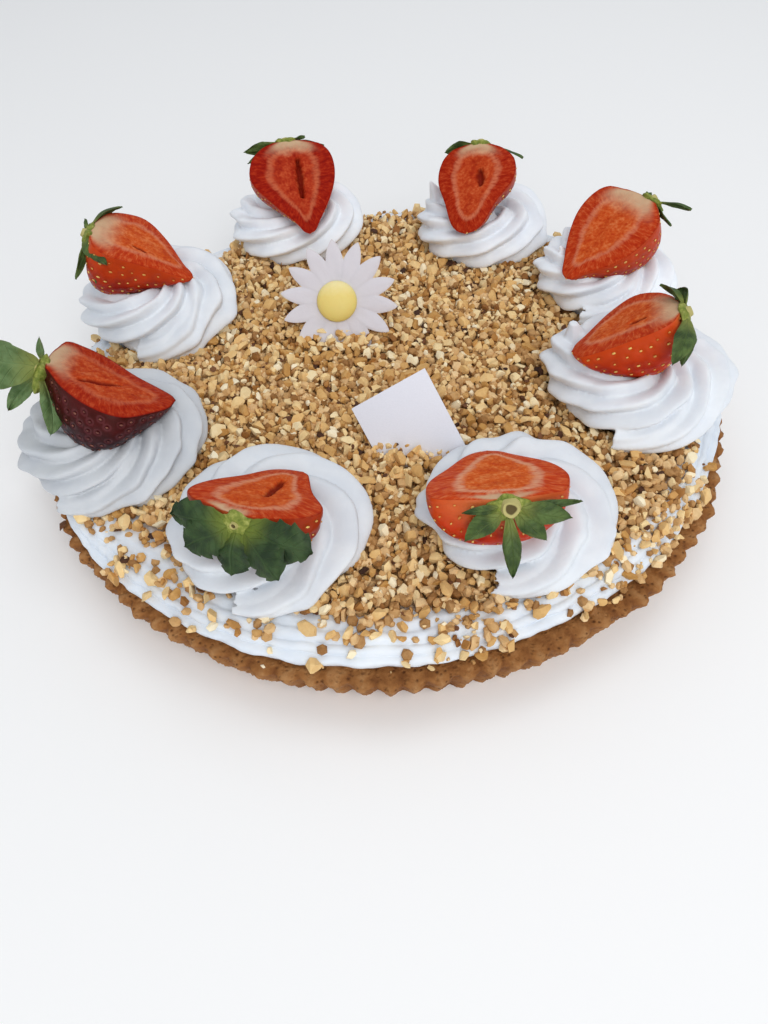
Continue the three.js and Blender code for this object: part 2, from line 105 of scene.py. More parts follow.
def sheet_of(columns, rows, place, weld=1e-3):
    """A grid whose corner shares (u, v) are sent to their places, with seams and poles closed."""
    bm = bmesh.new()
    marks = bm.verts.layers.float_vector.new("shares")
    bmesh.ops.create_grid(bm, x_segments=columns, y_segments=rows, size=0.5)
    for vert in bm.verts:
        u, v = vert.co.x + 0.5, vert.co.y + 0.5
        vert[marks] = (u, v, 0)
        vert.co = place(u, v)
    bmesh.ops.remove_doubles(bm, verts=bm.verts, dist=weld)
    bmesh.ops.recalc_face_normals(bm, faces=bm.faces)
    if bm.calc_volume(signed=True) < 0:
        bmesh.ops.reverse_faces(bm, faces=bm.faces)
    return bm


def ring_of(profile, steps):
    """A ring round Z from a closed profile of (radius, height) points."""
    rows = len(profile)

    def place(u, v):
        radius, height = profile[round(v * rows) % rows]
        return (radius * math.cos(TURN * u), radius * math.sin(TURN * u), height)

    return sheet_of(steps, rows, place)


def object_of(name, mesh):
    piece = bpy.data.objects.new(name, mesh)
    bpy.context.scene.collection.objects.link(piece)
    return piece


def finished(name, source, finishes, replaces, smooth_angle=None):
    """A bmesh or mesh in millimetres as a piece of the cake."""
    if isinstance(source, bmesh.types.BMesh):
        mesh = bpy.data.meshes.new(name)
        source.to_mesh(mesh)
        source.free()
    else:
        mesh = source
    mesh.transform(Matrix.Scale(MM, 4))
    mesh.polygons.foreach_set("use_smooth", [True] * len(mesh.polygons))
    if smooth_angle:
        mesh.set_sharp_from_angle(angle=math.radians(smooth_angle))
    for finish in finishes:
        mesh.materials.append(finish)
    piece = object_of(name, mesh)
    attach(piece, "root")
    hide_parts(*replaces)
    return piece


def even_skin(bm, voxel, rounds):
    """The outer surface of overlapping shapes as one smooth closed mesh."""
    mesh = bpy.data.meshes.new("skin")
    bm.to_mesh(mesh)
    bm.free()
    raw = object_of("skin", mesh)
    remesh = raw.modifiers.new("skin", "REMESH")
    remesh.mode = "VOXEL"
    remesh.voxel_size = voxel
    soften = raw.modifiers.new("soften", "SMOOTH")
    soften.factor = 0.5
    soften.iterations = rounds
    seen = raw.evaluated_get(bpy.context.evaluated_depsgraph_get())
    result = bpy.data.meshes.new_from_object(seen)
    bpy.data.objects.remove(raw)
    return result


def attribute(mesh, name, values):
    mesh.attributes.new(name, "FLOAT", "POINT").data.foreach_set("value", np.asarray(values, np.float32))


# Helpers for finishes


class Wire:
    """A node's output. Arithmetic on it adds Math nodes."""

    def __init__(self, paint, socket):
        self.paint = paint
        self.socket = socket

    def math(self, operation, first, second=0.0):
        return self.paint.node("ShaderNodeMath", {"operation": operation}, {0: first, 1: second})

    def __add__(self, other):
        return self.math("ADD", self, other)

    def __sub__(self, other):
        return self.math("SUBTRACT", self, other)

    def __rsub__(self, other):
        return self.math("SUBTRACT", other, self)

    def __mul__(self, other):
        return self.math("MULTIPLY", self, other)

    def __abs__(self):
        return self.math("ABSOLUTE", self)

    __radd__ = __add__
    __rmul__ = __mul__

    def at_least(self, other):
        return self.math("MAXIMUM", self, other)

    def between(self, low, high):
        """0 below low, 1 above high, and smooth between them."""
        settings = {"interpolation_type": "SMOOTHSTEP"}
        sockets = {"Value": self, "From Min": low, "From Max": high}
        return self.paint.node("ShaderNodeMapRange", settings, sockets)


def srgb(red, green, blue):
    """A colour as a photograph's file gives it, as light."""
    values = [value / 255 for value in (red, green, blue)]
    return (*[v / 12.92 if v <= 0.04045 else ((v + 0.055) / 1.055) ** 2.4 for v in values], 1.0)


class Paint:
    """A material built from nodes, with one Principled shader."""

    def __init__(self, name, **constants):
        self.material = bpy.data.materials.new(name)
        self.material.use_nodes = True
        self.tree = self.material.node_tree
        self.tree.nodes.clear()
        self.shader = self.tree.nodes.new("ShaderNodeBsdfPrincipled")
        for key, value in constants.items():
            self.shader.inputs[key.replace("_", " ")].default_value = value
        end = self.tree.nodes.new("ShaderNodeOutputMaterial")
        self.tree.links.new(self.shader.outputs[0], end.inputs[0])

    def node(self, kind, settings=None, sockets=None, output=0):
        new = self.tree.nodes.new(kind)
        for key, value in (settings or {}).items():
            if key == "stops":
                self.set_stops(new.color_ramp, value)
            else:
                setattr(new, key, value)
        for key, value in (sockets or {}).items():
            self.feed(new.inputs[key], value)
        return Wire(self, new.outputs[output])

    def set_stops(self, ramp, stops):
        for _ in range(len(stops) - 2):
            ramp.elements.new(0.5)
        for element, (position, colour) in zip(ramp.elements, stops):
            element.position = position
            element.color = colour

    def feed(self, socket, value):
        if isinstance(value, Wire):
            self.tree.links.new(value.socket, socket)
        else:
            socket.default_value = value

    def place(self):
        """Object coordinates in millimetres."""
        where = self.node("ShaderNodeTexCoord", output="Object")
        return self.node("ShaderNodeVectorMath", {"operation": "SCALE"}, {0: where, "Scale": 1 / MM})

    def stretched(self, where, scale):
        return self.node("ShaderNodeVectorMath", {"operation": "MULTIPLY"}, {0: where, 1: scale})

    def spots(self, where, size, detail=2.0, roughness=0.5, distortion=0.0):
        """Noise from 0 to 1 whose patches are about as large as size."""
        values = {"Vector": where, "Scale": 1 / size, "Detail": detail, "Roughness": roughness}
        return self.node("ShaderNodeTexNoise", {}, {**values, "Distortion": distortion})

    def cells(self, where, size, settings=None, output="Distance"):
        return self.node("ShaderNodeTexVoronoi", settings, {"Vector": where, "Scale": 1 / size}, output)

    def value(self, name):
        return self.node("ShaderNodeAttribute", {"attribute_name": name}, output="Fac")

    def ramp(self, value, *stops):
        return self.node("ShaderNodeValToRGB", {"stops": stops}, {"Fac": value})

    def blend(self, share, first, second, kind="MIX"):
        settings = {"data_type": "RGBA", "blend_type": kind}
        return self.node("ShaderNodeMix", settings, {0: share, 6: first, 7: second}, 2)

    def vector(self, x, y, z=0.0):
        return self.node("ShaderNodeCombineXYZ", {}, {0: x, 1: y, 2: z})

    def bump(self, height, depth, below=None):
        """Relief of that depth in millimetres."""
        values = {"Height": height, "Distance": depth * MM, "Strength": 1.0}
        if below:
            values["Normal"] = below
        return self.node("ShaderNodeBump", {}, values)

    def end(self, colour, roughness=None, normal=None):
        self.feed(self.shader.inputs["Base Color"], colour)
        if roughness is not None:
            self.feed(self.shader.inputs["Roughness"], roughness)
        if normal is not None:
            self.feed(self.shader.inputs["Normal"], normal)
        return self.material


# Finishes


def crust_finish():
    paint = Paint("baked_shortcrust", Specular_IOR_Level=0.2)
    place = paint.place()
    crest = paint.value("crest")
    patches = paint.spots(place, 14, 3)
    grain = paint.spots(place, 2.0, 5, 0.7)
    pores = paint.cells(paint.stretched(place, (1, 1, 1.4)), 1.7)
    # the crest value makes the outward flute crests and raised crumbs lighter and the flute valleys and pits
    # darker: painted light and shade; the patches and grain are the pastry's own uneven tone
    tone_with_painted_light = crest * 0.4 + patches * 0.45 + grain * 0.45
    colour = paint.ramp(
        tone_with_painted_light,
        (0.3, srgb(92, 50, 22)),
        (0.5, srgb(126, 78, 38)),
        (0.68, srgb(150, 100, 54)),
        (0.9, srgb(174, 128, 82)),
    )
    scorched = paint.spots(place, 5, 3, 0.6).between(0.62, 0.74) * 0.7
    colour = paint.blend(scorched, colour, srgb(84, 46, 22))
    # the sunk pits of the pores are darkened: painted shade in them
    pore_shade = (1 - pores.between(0.1, 0.34)) * paint.spots(place, 6, 2).between(0.42, 0.58)
    colour = paint.blend(pore_shade * 0.8, colour, srgb(78, 42, 18))
    relief = grain * 0.6 + pores.between(0.05, 0.5) * 0.5
    return paint.end(colour, 0.66 + grain * 0.2, paint.bump(relief, 0.7))


def cream_finish(name, tint):
    """Whipped cream. Where the crumbs attribute is 1, fine nut crumbs hide it."""
    paint = Paint(
        name, Subsurface_Weight=0.1, Subsurface_Radius=(1.0, 0.9, 0.8), Subsurface_Scale=2 * MM,
        Specular_IOR_Level=0.3,
    )
    place = paint.place()
    colour = paint.blend(paint.spots(place, 9, 2).between(0.3, 0.7), tint[0], tint[1])
    crumbs = paint.value("crumbs")
    grit = paint.spots(place, 1.3, 3, 0.6)
    tan = paint.ramp(grit, (0.3, srgb(124, 88, 52)), (0.5, srgb(176, 136, 88)), (0.68, srgb(218, 184, 136)))
    colour = paint.blend(crumbs, colour, tan)
    silk = paint.spots(place, 2.4, 3, 0.55)
    pores = 1 - paint.cells(place, 1.3).between(0.05, 0.22)
    relief = silk - pores * 0.25 + crumbs * grit * 5
    return paint.end(colour, 0.42 + silk * 0.18, paint.bump(relief, 0.12))


def nut_finish(name, colours):
    """Chopped nuts, in three colours from dark to light."""
    paint = Paint(name, Specular_IOR_Level=0.3)
    place = paint.place()
    mottle = paint.spots(place, 1.6, 3, 0.6)
    tone = paint.value("tint") * 0.8 + mottle * 0.4 - 0.1
    colour = paint.ramp(tone, *[(0.1 + 0.4 * k, srgb(*colours[k])) for k in range(3)])
    ridges = paint.spots(paint.stretched(place, (1, 1.5, 1.2)), 0.7, 2)
    return paint.end(colour, 0.55 + mottle * 0.2, paint.bump(ridges, 0.16))


def between_colours(first, second, share):
    return tuple(mix(a, b, share) for a, b in zip(srgb(*first), srgb(*second)))


def flesh_finish(name, berry):
    """The cut face: streaks from the heart to the rim, a pale line between them and a slit, painted dark as
    shade in its hollow.
    """
    paint = Paint(
        name, Subsurface_Weight=0.05, Subsurface_Radius=(1.0, 0.35, 0.2), Subsurface_Scale=1.5 * MM,
        Specular_IOR_Level=0.05,
    )

    def red(bright, deep):
        return between_colours(bright, deep, berry["dark"])

    depth = paint.value("depth")
    along = paint.value("along")
    side = paint.value("side")
    place = paint.place()
    spread = paint.vector(paint.value("around"), depth * 7)
    streaks = paint.spots(spread, 1.5, 3, 0.6, 0.3)
    fine = paint.spots(spread, 0.6, 2)
    uneven = paint.spots(place, 4, 3)
    grains = paint.spots(place, 1.1, 2)
    outer = paint.ramp(
        streaks * 0.7 + fine * 0.3,
        (0.34, red((188, 44, 10), (124, 10, 2))),
        (0.5, red((208, 76, 28), (150, 24, 5))),
        (0.68, red((226, 124, 74), (178, 54, 22))),
    )
    inner = paint.ramp(
        uneven * 0.5 + grains * 0.5,
        (0.34, red((198, 66, 16), (146, 28, 10))),
        (0.5, red((218, 98, 36), (170, 50, 22))),
        (0.66, red((232, 138, 78), (192, 80, 44))),
    )
    line = depth + (uneven - 0.5) * 0.18
    colour = paint.blend(line.between(0.4, 0.5), outer, inner)
    halo = line.between(0.32, 0.44) * (1 - line.between(0.46, 0.58)) * streaks.between(0.15, 0.6)
    colour = paint.blend(halo * berry["halo"], colour, red((228, 168, 134), (206, 116, 80)))
    # the slit's hollow is painted dark red: painted shade in it
    colour = paint.blend(paint.value("slit").between(0.15, 0.8) * 0.85, colour, srgb(108, 16, 8))
    pale = (along + (uneven - 0.5) * 0.12).between(0.95 - 0.24 * berry["crown"], 0.99)
    pale = pale * (1 - side.between(0.3 + 0.25 * berry["crown"], 0.7 + 0.25 * berry["crown"]))
    colour = paint.blend(pale * 0.85, colour, srgb(210, 182, 146))
    rim = (1 - depth.between(0.0, 0.06)) * mix(0.25, 1.0, berry["ripe"])
    colour = paint.blend(rim, colour, srgb(126, 12, 5))
    relief = streaks * 0.6 + fine * 0.4
    return paint.end(colour, 0.4 + fine * 0.18, paint.bump(relief, 0.25))


def skin_finish(name, berry):
    """The outside of a berry, from bright red to nearly black red as it is riper."""
    paint = Paint(
        name, Subsurface_Weight=0.05, Subsurface_Radius=(1.0, 0.3, 0.2), Subsurface_Scale=1.5 * MM,
        Specular_IOR_Level=0.12, Coat_Weight=0.03, Coat_Roughness=0.1,
    )

    def red(bright, deep):
        return between_colours(bright, deep, berry["ripe"])

    place = paint.place()
    along = paint.value("along")
    blush = paint.spots(place, 7, 3)
    dark, light = red((160, 24, 8), (38, 4, 9)), red((194, 50, 14), (58, 9, 16))
    colour = paint.blend(blush.between(0.35, 0.65), dark, light)
    colour = paint.blend(paint.value("cut") * (0.7 - 0.65 * berry["ripe"]), colour, srgb(206, 76, 24))
    dimple = paint.value("dimple")
    # pinkish-grey rings round the dimples of the ripest berries: painted glints of light on the dimples' rims
    ring = dimple.between(0.08, 0.3) * (1 - dimple.between(0.4, 0.65))
    colour = paint.blend(dimple * 0.3, colour, red((214, 96, 34), (66, 14, 22)))
    colour = paint.blend(ring * 0.14 * smoothstep(0.8, 1, berry["ripe"]), colour, srgb(150, 84, 90))
    colour = paint.blend(along.between(0.92, 1.04) * (0.5 - 0.5 * berry["ripe"]), colour, srgb(208, 134, 78))
    return paint.end(colour, 0.24 + blush * 0.2, paint.bump(paint.spots(place, 1.2, 2), 0.1))


def seed_finish(name, dark, light):
    paint = Paint(name, Specular_IOR_Level=0.4)
    tone = paint.spots(paint.place(), 2.5, 2)
    return paint.end(paint.blend(tone.between(0.35, 0.65), dark, light), 0.4)


def leaf_finish(name, deep, light, young):
    paint = Paint(name, Subsurface_Weight=0.05, Subsurface_Scale=1 * MM, Specular_IOR_Level=0.3)
    place = paint.place()
    length = paint.value("length")
    side = abs(paint.value("side"))
    blade = paint.blend(paint.spots(place, 4, 3).between(0.3, 0.7), deep, light)
    rib = 1 - side.between(0.0, 0.08)
    comb = paint.node("ShaderNodeMath", {"operation": "SINE"}, {0: (length * 1.0 - side * 0.22) * 46})
    veins = comb.between(0.82, 1.0) * side.between(0.06, 0.2) * (1 - side.between(0.75, 1.0))
    colour = paint.blend((rib * 0.6).at_least(veins * 0.35), blade, light)
    colour = paint.blend((1 - length.between(0.05, 0.45)) * 0.9, colour, young)
    fuzz = paint.spots(place, 0.8, 3)
    relief = fuzz * 0.4 - veins * 0.6 - rib * 0.8
    return paint.end(colour, 0.5 + fuzz * 0.2, paint.bump(relief, 0.22))


def hub_finish():
    """The green knob, with the pale ring of the stalk and the hollow in it, painted dark as shade."""
    paint = Paint("leaf_hub", Specular_IOR_Level=0.25)
    place = paint.place()
    tone = paint.spots(place, 1.6, 3, 0.6)
    greens = (0.3, srgb(92, 110, 36)), (0.55, srgb(136, 144, 64)), (0.75, srgb(176, 178, 100))
    green = paint.ramp(tone, *greens)
    stalk = paint.value("stalk")
    # the stalk's stump is pale and its sunk hollow is painted dark brown: painted shade in the hollow
    stalk_and_hollow_shade = paint.blend(stalk.between(0.8, 0.95), srgb(184, 174, 112), srgb(88, 74, 38))
    return paint.end(paint.blend(stalk.between(0.3, 0.5), green, stalk_and_hollow_shade), 0.6, paint.bump(tone, 0.3))


def wafer_finish(name, base, shade):
    paint = Paint(name, Subsurface_Weight=0.2, Subsurface_Radius=(1, 1, 1), Subsurface_Scale=1 * MM)
    place = paint.place()
    reach = paint.value("reach")
    crease = paint.value("crease")
    weave = paint.spots(place, 0.8, 2)
    cloud = paint.spots(place, 6, 3)
    # the petals are darker in the creases between them, as painted shade, and darker towards the heart; the
    # cloud is the wafer's own uneven tone
    colour = paint.blend((cloud * 0.6 + crease * 0.25 + (1 - reach) * 0.4).between(0.35, 1.1), base, shade)
    return paint.end(colour, 0.65 + weave * 0.1, paint.bump(weave * 0.5 + cloud, 0.1))


def heart_finish():
    paint = Paint("wafer_heart", Subsurface_Weight=0.1, Subsurface_Scale=1 * MM, Specular_IOR_Level=0.4)
    place = paint.place()
    grains = paint.spots(place, 1.4, 3, 0.6)
    drop = paint.value("drop") + (grains - 0.5) * 0.2
    yellows = (0.05, srgb(238, 224, 162)), (0.4, srgb(232, 210, 122)), (0.9, srgb(226, 204, 116))
    colour = paint.ramp(drop, *yellows)
    return paint.end(colour, 0.42 + grains * 0.2, paint.bump(grains, 0.12))


def card_finish():
    paint = Paint("card_stock", Specular_IOR_Level=0.35)
    fibres = paint.spots(paint.stretched(paint.place(), (1, 1, 3)), 0.6, 4, 0.7)
    colour = paint.blend(fibres.between(0.3, 0.7), srgb(222, 223, 232), srgb(227, 228, 237))
    return paint.end(colour, 0.5 + fibres * 0.1, paint.bump(fibres, 0.02))


# Crust: a fluted case, rough and uneven as baked pastry is

FLUTES = 104
STEPS_PER_FLUTE = 12
FLUTE_DEPTH = 2.2
FOOT, RIM, CRUST_HEIGHT = 120.0, 127.0, 19.0  # radius at the foot and at the rim, and height
WALL_TOP, RIM_ROUND = 17.4, 1.6  # height at which the rim's round edge starts, and its radius
TUCK_SIDE, TUCK_WIDTH, TUCK = 2, 0.22, 2.6  # where the rim leans in below the cream, in degrees, and how far


def crust_profile():
    """Outline of the case in (radius, height), from the foot up, over the rim and down the inside."""
    outer = [(mix(FOOT, RIM, k / 26), mix(0.0, WALL_TOP, k / 26)) for k in range(27)]
    turns = [math.radians(angle) for angle in range(15, 91, 15)]
    rim = [(RIM - RIM_ROUND + RIM_ROUND * math.cos(a), WALL_TOP + RIM_ROUND * math.sin(a)) for a in turns]
    top = [(mix(125.0, 117.8, k / 12), 19.0 - 0.9 * k / 12) for k in range(1, 13)]
    inner = [(115, 10), (112.5, 5.2), (0.02, 5.2), (0.02, 0), (118.5, 0)]
    return [*outer, *rim, *top, *inner]


def crust_mesh():
    bm = ring_of(crust_profile(), FLUTES * STEPS_PER_FLUTE)
    crest = bm.verts.layers.float.new("crest")
    for vert in bm.verts:
        x, y, z = vert.co
        radius, angle = math.hypot(x, y), math.atan2(y, x)
        outside = smoothstep(119.5, 126.5, radius + (CRUST_HEIGHT - z) * 0.36)
        tucked = near_side(angle, TUCK_SIDE, TUCK_WIDTH)
        outside *= 1 - 0.85 * tucked
        phase = FLUTES * angle / TURN + 0.12 * wobble(3, 9 * math.cos(angle), 9 * math.sin(angle))
        tooth = 1 - 2 * abs(phase % 1 - 0.5) * 2
        flute = FLUTE_DEPTH / 2 * math.copysign(abs(tooth) ** 0.8, tooth)
        flute *= 1 + 0.35 * wobble(4, 25 * math.cos(angle), 25 * math.sin(angle))
        uneven = 0.5 * (math.sin(7 * angle + 1) + math.sin(19 * angle)) * z / CRUST_HEIGHT
        crumbs = 0.55 * wobble(1, x / 2.2, y / 2.2, z / 2.2) + 0.3 * wobble(2, x / 0.9, y / 0.9, z / 0.9)
        lumps = 0.7 * wobble(5, x / 7, y / 7, z / 7)
        push = outside * flute + uneven + (crumbs + lumps) * (0.25 if z < 0.1 else 1)
        push -= TUCK * tucked * z / CRUST_HEIGHT
        if radius > 100:
            vert.co.x += push * math.cos(angle)
            vert.co.y += push * math.sin(angle)
        if z > 17:
            vert.co.z += crumbs * 0.9 + lumps * 0.8
        # crest is high on outward flutes and bumps and low in the valleys and pits between them, for painted
        # light and shade in the crust's colour
        vert[crest] = clamp(0.5 + 0.4 * outside * tooth + 0.5 * crumbs)
    return bm


# Cream: combed ridges show round the edge, and the nuts lie on its top

CREAM_TOP = 25.4
# outline of the combed edge in (radius, height), from below the rim up to the top
CREAM_EDGE = [
    (117.0, 15.0), (119.5, 18.2), (121.8, 19.0), (123.2, 20.0), (123.7, 21.3), (123.2, 22.6), (122.0, 23.2),
    (121.3, 23.3), (121.2, 24.1), (120.6, 24.9), (119.6, 25.2), (118.7, 25.0), (118.2, 25.7), (117.2, 26.5),
    (116.0, 26.6), (114.8, 26.2), (113.6, 26.4), (112.2, 26.6), (110.4, 26.2), (107.0, 25.8),
]
OVAL, OVAL_AXIS = 2.8, math.radians(30)  # how far the cream is from round, and its long axis


def oval_reach(angle):
    """How far the cream's edge is out from a true round."""
    bulges = 3.6 * near_side(angle, 2, 0.34) - 2 * near_side(angle, -128, 0.4)
    return OVAL * math.cos(2 * (angle - OVAL_AXIS)) + bulges


def cream_height(radius):
    """Height of the smooth cream at a distance from the middle."""
    rising = [(CREAM_EDGE[-1][0] - 8, CREAM_TOP)] + [(r, z) for r, z in CREAM_EDGE if z >= 21][::-1]
    return float(np.interp(radius, [r for r, z in rising], [z for r, z in rising]))


def nut_edge(angle):
    """How far out the closed bed of nuts reaches on each side."""
    reach = 113 + 3.5 * wobble(401, 4 * math.cos(angle), 4 * math.sin(angle))
    for side, change, width in ((-125, -4.5, 0.5), (-40, 3.5, 0.35), (0, 3, 0.5)):
        reach += change * near_side(angle, side, width)
    return reach


def cream_mesh():
    outline = [tuple(curve_through(CREAM_EDGE, k / 76)) for k in range(77)]
    flat = [(mix(106, 2, k / 26), CREAM_TOP) for k in range(1, 27)]
    bm = ring_of([*outline, *flat, (2, 12), (112, 12)], 600)
    crumbs = bm.verts.layers.float.new("crumbs")
    for vert in bm.verts:
        x, y, z = vert.co
        radius, angle = math.hypot(x, y), math.atan2(y, x)
        edge = smoothstep(100, 112, radius)
        c, s = math.cos(angle), math.sin(angle)
        drift = 0.9 * wobble(11, 3 * c, 3 * s, z / 14) + 0.6 * wobble(12, 14 * c, 14 * s, z / 5)
        drift += 0.5 * wobble(16, 34 * c, 34 * s, z / 2.5)
        shift = edge * (oval_reach(angle) + drift) if z > 16 else edge * oval_reach(angle) * 0.5
        vert.co.x += shift * c
        vert.co.y += shift * s
        if z > 20:
            vert.co.z += 0.45 * wobble(13, x / 9, y / 9) + 0.16 * wobble(14, x / 2.5, y / 2.5, z / 2.5)
        cover = nut_edge(angle) + 1.5 * wobble(15, x / 3, y / 3)
        vert[crumbs] = (1 - smoothstep(cover - 4.5, cover - 1.5, radius)) if z > 20 else 0
    return bm


# Rosettes: a star-shaped rope of cream wound inward and up

TEETH = [8, 8, 8, 8, 6, 6, 8, 8]  # folds round the rope of each rosette
ROPE_COLUMNS = 96  # steps round the rope, a whole number for each fold
SWIRL_FOOT = 25.6
# middle, radius, height, side where the rope starts in degrees, and turns of the rope
SWIRLS = [
    (-35, 100, 30, 21, 80, 1.8),
    (47, 89, 29, 22, 95, 1.75),
    (93, 44, 28, 22, -122, 1.7),
    (91, -19, 33, 22, -118, 1.8),
    (39, -75, 31, 16.5, -112, 1.65),
    (-39, -76, 32, 15.5, -108, 1.65),
    (-96, -35, 32, 18.5, -115, 1.75),
    (-90, 41, 31.5, 23, -100, 1.8),
]
# for each swirl, the sides in degrees where a fold ends in a corner at its foot
CORNERS = [
    (173, 147), (138, -30), (158, 121), (-138, -176, 158, -6), (-42, -28, -149, -177, 167), (-66, -133, -153),
    (-61, -154, 166, -24), (-55, -22, -168, 158),
]
# points that the nozzle drew out, as seen from a swirl's middle: x, y, height, length, lean, and the radius
# of the foot and of the tip
PEAKS = {2: (-17, 9, 21, 9, -5, 5.2, 0.4), 3: (-14, 2, 19, 8, -6, 5.2, 0.4), 4: (-20, 13, 20, 9, -3, 6, 1.6)}
# painted light and shade: how light each rosette's cream is made, darker for the rosettes that lie in shade
# and lighter for those in full light
CREAM_PAINTED_LIGHT_AND_SHADE = [1.02, 1.0, 1.02, 0.97, 0.95, 0.94, 0.86, 0.96]


def tooth_wave(turns, lean):
    """A fold of the rope: 1 on its round crest, 0 in the narrow crease, with one side steeper."""
    phase = turns % 1
    away = 1 - phase / lean if phase < lean else (phase - lean) / (1 - lean)
    return 1 - away ** 1.5


def swirl_mesh(number, x, y, radius, height, start, turns):
    thick = 0.43 * radius
    level = height / 2.05
    first = math.radians(start)
    teeth = TEETH[number - 1]
    lean = round(7 / 12 * ROPE_COLUMNS / teeth) * teeth / ROPE_COLUMNS

    def place(u, v):
        """A place on the rope, which starts slim, lies round the foot and then winds inward and up."""
        angle = first + TURN * turns * u
        lap = turns * u
        seat = mix(0.5, 1, smoothstep(0, 0.14, u))
        flare = 2.6 * (1 - smoothstep(0.03, 0.11, u)) + 0.8 * (1 - seat) * thick
        end = 1 - smoothstep(0.86, 1, u)
        inward = smoothstep(0.7, turns, lap)
        path = mix(radius - thick, 0.1 * radius, inward)
        rise = mix(0, height - 1.75 * level, smoothstep(0.6, turns, lap))
        size = mix(1, 0.74, smoothstep(0.7, turns, lap)) * seat * mix(0.12, 1, end)
        size *= 1 + 0.12 * wobble(20 + number, 3 * math.cos(angle), 3 * math.sin(angle), lap)
        path *= 1 + 0.08 * wobble(40 + number, 2 * math.cos(angle), 2 * math.sin(angle), lap)
        tooth = teeth * v
        around = TURN * v - angle - math.pi
        strength = 1 + 0.22 * wobble(70 + number, 1.7 * (math.floor(tooth + 1e-6) % teeth) + 0.4, 1.5 * u)
        calm = 1 - smoothstep(0.02, 0.13, u)
        fold = mix(tooth_wave(tooth, lean) * strength, 0.6, 0.75 * calm)
        bulge = 0.66 + 0.37 * fold + 0.025 * wobble(60 + number, 5 * u, 6 * v)
        corner = max(near_side(angle, side, 0.13) for side in CORNERS[number - 1])
        outward = path + flare - math.sin(around) * thick * size * bulge
        outward += 1.9 * corner * max(0, -math.sin(around)) * (1 - smoothstep(0.7, 1.1, lap))
        up = rise + level * (0.95 * seat - math.cos(around) * size * bulge)
        return (x + outward * math.cos(angle), y + outward * math.sin(angle), SWIRL_FOOT + max(up, 0))

    steps = 260
    bm = sheet_of(steps, ROPE_COLUMNS, place)
    caps = [edge for edge in bm.edges if edge.is_boundary]
    bmesh.ops.holes_fill(bm, edges=caps)
    if number in PEAKS:
        px, py, foot, length, lean, wide, fine = PEAKS[number]
        made = bmesh.ops.create_cone(
            bm, cap_ends=True, segments=7, radius1=wide, radius2=fine, depth=length,
            matrix=Matrix.Translation((x + px, y + py, foot + SWIRL_FOOT)),
        )
        for vert in made["verts"]:
            vert.co.x += lean * smoothstep(0, length, vert.co.z - SWIRL_FOOT - foot + length / 2)
    bmesh.ops.recalc_face_normals(bm, faces=bm.faces)
    return even_skin(bm, 0.49, 3)


# Half strawberries: local X is sideways, Y along the axis to the leaves, Z up from the cut face

